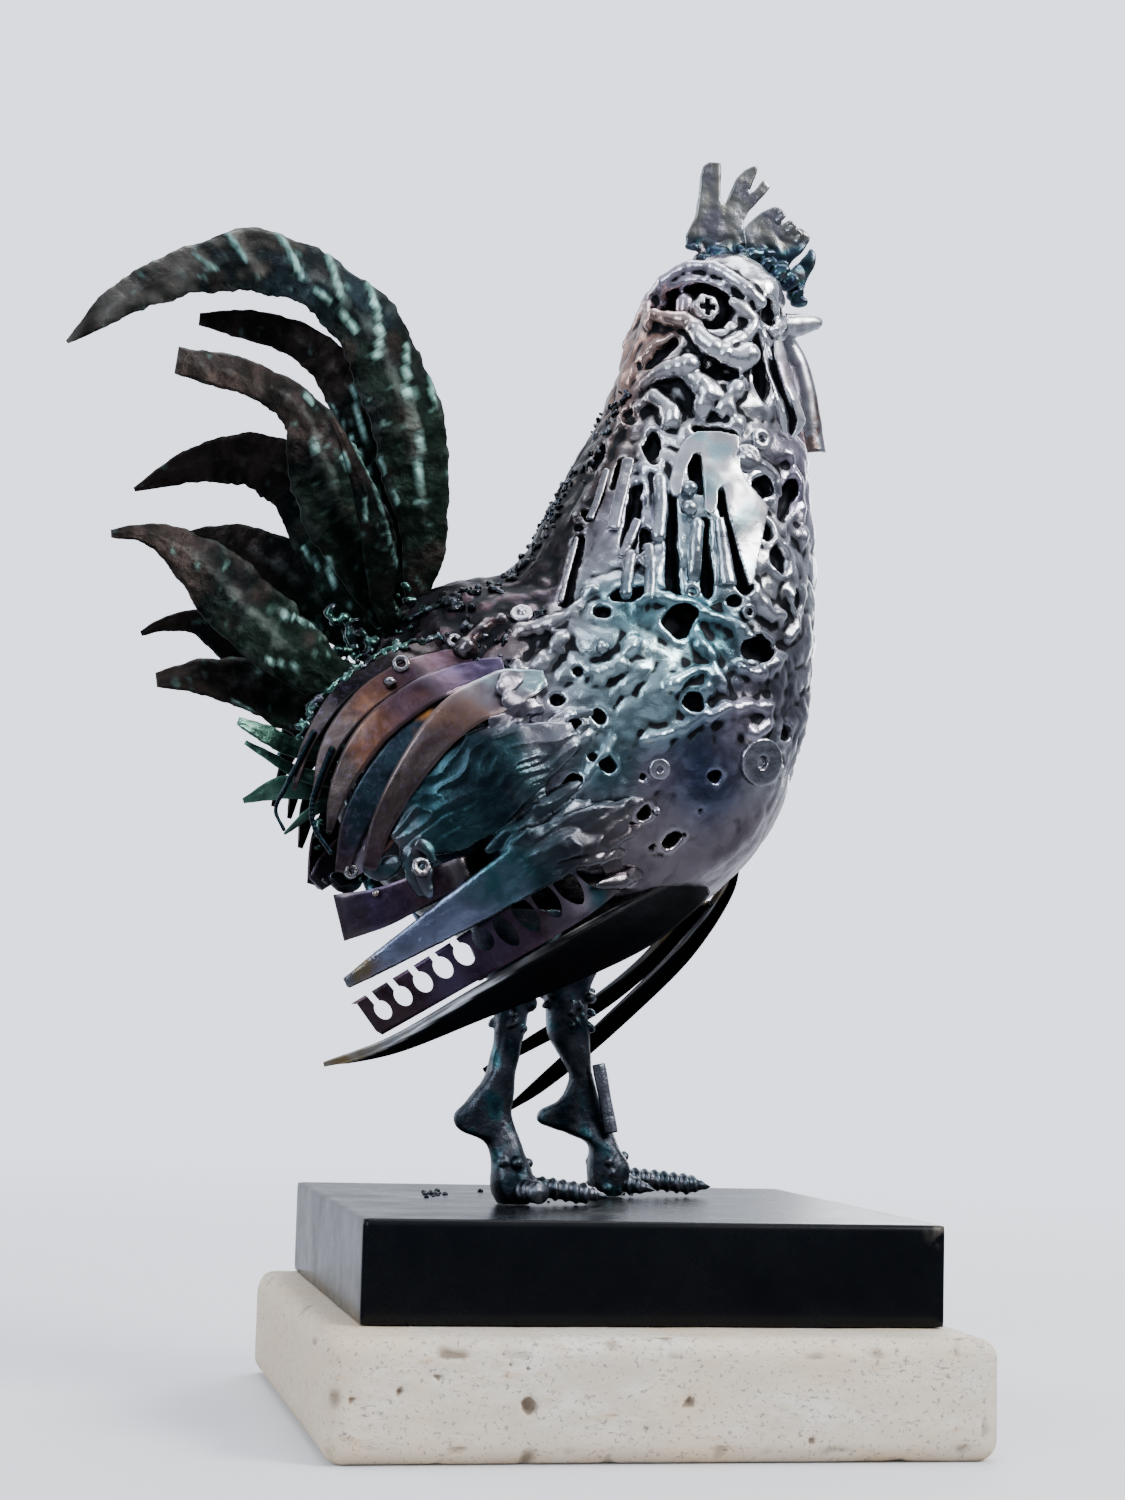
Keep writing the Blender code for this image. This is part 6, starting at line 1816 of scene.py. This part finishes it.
def makeFlows(label, side):        # molten streaks that join the wing to the breast, and lumps over the sheets' roots
    local = np.random.default_rng(61 + side)
    shapes = []
    for path, first, last in flows["streaks"]:
        spots = []
        for px, py, free in path:
            skin, normal = landing(bodyTree, px, py, side)
            sheet = wingSpot(px, py, side) - (0, side * 0.7 * mm, 0)
            spots.append((1 - free) * (skin + 0.2 * mm * normal) + free * sheet)
        line = smoothRows(spots, 12 * len(path))
        line = line + 1.2 * mm * np.stack([noiseAt(line, 9 * mm, k) for k in (2.0, 5.0, 8.0)], -1)
        radii = np.linspace(first, last, len(line)) * mm * (1.1 + 0.3 * noiseAt(line, 6 * mm))
        radii = radii * (0.5 + 0.6 * np.sin(np.linspace(0.12, math.pi - 0.12, len(line))) ** 0.6)
        shapes.append(tube(line, radii, 12, facing=(0, side, 0), flatness=0.5))
    shapes += [wingLeaves[label, name] for name in ("shell", "pointed_blade")]
    whole = fused(joined(shapes), flows["voxel"], 3)
    folded = whole[0].copy()
    if side > 0:
        folded[:, 1] = 2 * middleY - folded[:, 1]
    seen = pictureOf(folded)
    below = np.clip((seen[:, 1] - np.interp(seen[:, 0], *np.array(flows["divide"]).T)) / 8, 0, 1)
    near = np.clip((seen[:, 0] - 505) / 70 + 0.6 * noiseAt(folded, 9 * mm), 0, 1)
    near = np.maximum(near, np.clip((738 - seen[:, 1]) / 24, 0, 1) * np.clip((seen[:, 0] - 468) / 20, 0, 1))
    push = ripples(folded, 4.0) * (1 - 0.75 * below * (1 - near)) + 0.12 * mm * noiseAt(whole[0], 1.8 * mm)
    points = whole[0] + normalsOf(whole) * push[:, None]
    shell, blade = (wing["plates"][name] for name in ("shell", "pointed_blade"))
    colours = tinted(folded, shell[2], shell[3], 0.14, 11 * mm, 3.0) * (1 - below[:, None])
    colours = wing["dark"] * (colours + tinted(folded, blade[2], blade[3], 0.10, 16 * mm, 5.0) * below[:, None])
    colours = colours * (1 - near[:, None]) + flows["dark"] * bodyPaint(folded, bodyTree) * near[:, None]
    newPiece(label + "_wing_flow", (points, whole[1]), flowMetal,
             [f"{label}_wing_shell", f"{label}_wing_pointed_blade"], colours,
             0.8 * hollowsOf((points, whole[1]), 0.8 * mm, 10))
    shapes = []
    for px, py, layer, outer, hole in flows["bits"]:
        spot = wingSpot(px, py, side, layer)
        tipped = unitVectors(np.array((0.1, side, 0.1)) + 0.2 * local.normal(size=3))
        if hole:
            shapes.append(washer(spot, tipped, outer * mm, hole * mm, 2.2 * mm, 24))
        else:
            shapes.append(blob(spot, (outer * mm, 0.8 * outer * mm, 1.1 * outer * mm), 9, 14, local.normal(size=3)))
    points, faces = fused(joined(shapes), 0.5 * mm, 2)
    points = points + normalsOf((points, faces)) * (0.3 * mm * noiseAt(points, 2.5 * mm))[:, None]
    newPiece(label + "_wing_rivets", (points, faces), castMetal, ["body"],
             0.6 * steelTint(points, [(0, "slate"), (0.4, "mauve"), (0.7, "pewter"), (1, "copper")], 5 * mm))
    shapes = []
    for path, layer, size in flows["chains"]:
        path = np.array(path, float)
        length = np.linalg.norm(np.diff(path, axis=0), axis=1).sum() / 2.75
        for px, py in smoothRows(path, max(int(length / (0.55 * size)), 4)):
            px, py = px + local.normal() * 0.9 * size * 2.75, py + local.normal() * 0.6 * size * 2.75
            if layer is None:
                spot = landing(bodyTree, px, py, side)[0]
            elif layer < 0:
                spot = onPlane(px, py, -side * layer * mm)
            else:
                spot = wingSpot(px, py, side, layer)
            radius = size * local.uniform(0.45, 1.0) * mm
            radii = (radius, radius * local.uniform(0.6, 1), radius * 1.3)
            shapes.append(blob(spot, radii, 7, 10, local.normal(size=3)))
    points, faces = fused(joined(shapes), 0.6 * mm, 1)
    colours = steelTint(points, [(0, "black"), (0.6, "tar"), (0.85, "slate"), (1, "blueBlack")], 5 * mm)
    green = np.clip((place(-62, 0, 0)[0] - points[:, 0]) / (14 * mm), 0, 1)
    green = green * np.clip(0.35 + 1.6 * noiseAt(points, 6 * mm), 0, 1)
    colours += 0.7 * green[:, None] * np.array(paint["verdigris"])
    newPiece(label + "_weld_chains", (points, faces), castMetal, ["body"], colours, np.zeros(len(points)))


flows = {
    "dark": 0.75,
    "voxel": 0.62 * mm,
    "divide": [(330, 985), (436, 886), (478, 858), (520, 838), (600, 800), (700, 760)],      # pixels between shell and blade
    # small parts on the wing: pixel, layer, radius and hole in mm, with 0 for a solid lump
    "bits": [(401, 664, 1.6, 3.4, 1.5), (390, 682, 2.0, 2.7, 0), (376, 893, 1.7, 1.6, 0), (421, 867, 3.2, 3.8, 1.1),
             (351, 871, 0.6, 2.6, 1.0)],
    # streaks: pixel and share of the way from the skin out to the wing sheets; radius at both ends in mm
    "streaks": [
        ([(524, 756, 0.5), (545, 733, 0.2), (566, 717, 0), (590, 713, 0)], 2.0, 2.6),
        ([(500, 792, 0.9), (524, 777, 0.6), (543, 761, 0.3), (566, 743, 0), (588, 727, 0)], 2.4, 2.4),
        ([(470, 812, 1), (496, 788, 0.9), (519, 782, 0.6), (541, 764, 0.2), (560, 757, 0)], 2.6, 2.4),
        ([(475, 800, 0.9), (490, 790, 0.9), (503, 775, 0.7), (518, 758, 0.4)], 2.0, 2.2),
        ([(440, 850, 0.9), (468, 838, 0.9), (495, 822, 0.8), (518, 806, 0.6), (540, 790, 0.3)], 3.4, 3.0),
        ([(408, 838, 0.9), (418, 862, 0.9), (422, 890, 0.9)], 4.6, 4.0),
        ([(362, 866, 0.9), (380, 870, 0.9), (396, 862, 0.9)], 3.2, 4.2),
        ([(506, 856, 1), (525, 838, 1), (546, 834, 0.8), (566, 815, 0.4), (585, 803, 0)], 3.0, 3.4),
        ([(520, 868, 1), (548, 850, 1), (572, 838, 0.8), (600, 826, 0.3), (618, 815, 0)], 3.4, 3.6),
        ([(545, 862, 1), (572, 848, 0.9), (600, 842, 0.6), (628, 832, 0.2)], 3.4, 3.4),
        ([(490, 850, 1), (520, 826, 0.8), (548, 805, 0.4), (566, 792, 0)], 2.8, 2.6),
        ([(560, 830, 0.7), (590, 818, 0.3), (612, 806, 0)], 4.0, 3.4),
        ([(530, 815, 0.6), (556, 800, 0.3), (578, 783, 0)], 3.0, 2.4),
        ([(480, 705, 0.4), (497, 695, 0.2), (512, 692, 0)], 3.2, 3.4),
        ([(478, 722, 0.6), (494, 724, 0.3), (510, 716, 0)], 2.2, 2.8),
        ([(500, 740, 0.4), (512, 728, 0.2), (526, 716, 0)], 2.6, 3.0),
        ([(452, 690, 0.3), (470, 680, 0.1), (492, 672, 0)], 2.6, 3.2),
        ([(436, 862, 1), (424, 846, 1), (404, 838, 0.9)], 1.8, 2.2),
        ([(425, 866, 1), (424, 878, 1), (430, 896, 1)], 3.2, 2.0),
        ([(400, 832, 0.9), (394, 812, 0.9), (396, 790, 0.9)], 1.6, 1.0),
        ([(374, 892, 0.9), (377, 894, 0.9)], 1.6, 1.6),
        ([(504, 688, 1), (512, 684, 0.5), (530, 682, 0)], 4.4, 4.0),
        ([(508, 702, 1), (518, 704, 0.5), (538, 710, 0)], 4.0, 3.4),
        ([(492, 720, 1), (504, 722, 0.6), (518, 726, 0.1)], 3.0, 3.2),
        ([(600, 812, 0.6), (622, 806, 0.3), (640, 800, 0)], 2.6, 2.0),
        ([(598, 842, 0.6), (620, 834, 0.4), (640, 826, 0)], 2.8, 2.2),
        ([(580, 862, 0.8), (604, 856, 0.6), (625, 850, 0.2)], 2.6, 2.4),
        ([(600, 885, 0.6), (622, 880, 0.4), (640, 872, 0)], 2.8, 2.6),
    ],
    # chains of small lumps: pixels, layer of the wing or None for the skin, size in mm
    "chains": [
        ([(298, 737), (309, 712), (326, 692), (354, 670), (388, 651), (416, 642), (444, 633)], 0.0, 1.5),
        ([(400, 628), (425, 610), (450, 600), (462, 610)], None, 1.8),
        ([(500, 650), (510, 672), (524, 680)], None, 1.5),
        ([(465, 622), (478, 633), (474, 650), (478, 668), (482, 690)], None, 2.3),
        ([(445, 600), (468, 592), (495, 588), (515, 572), (535, 545), (560, 505)], None, 1.7),
        ([(580, 480), (596, 446), (612, 415), (626, 388)], None, 1.3),
        ([(372, 795), (350, 760), (346, 790), (352, 830)], 0.0, 2.0), ([(380, 862), (392, 868)], 0.0, 1.6),
        ([(336, 612), (352, 640), (334, 690), (312, 722)], -12.0, 2.6),
        ([(376, 590), (386, 620), (374, 660)], -12.0, 2.4), ([(404, 584), (416, 604), (408, 630)], -10.0, 2.2),
        ([(345, 650), (368, 668), (350, 700)], -13.0, 2.8),
        ([(548, 520), (556, 500), (572, 470)], None, 1.3), ([(500, 640), (520, 625), (545, 608)], None, 1.4),
    ],
}


makeComb()
makeBeak()
makeWattles()
makeNearWattle()
for label, side in (("right", -1), ("left", 1)):
    makeEye(label, side)
    makeNeckScrap(label, side)
    makeFlows(label, side)
print("head and scrap made")
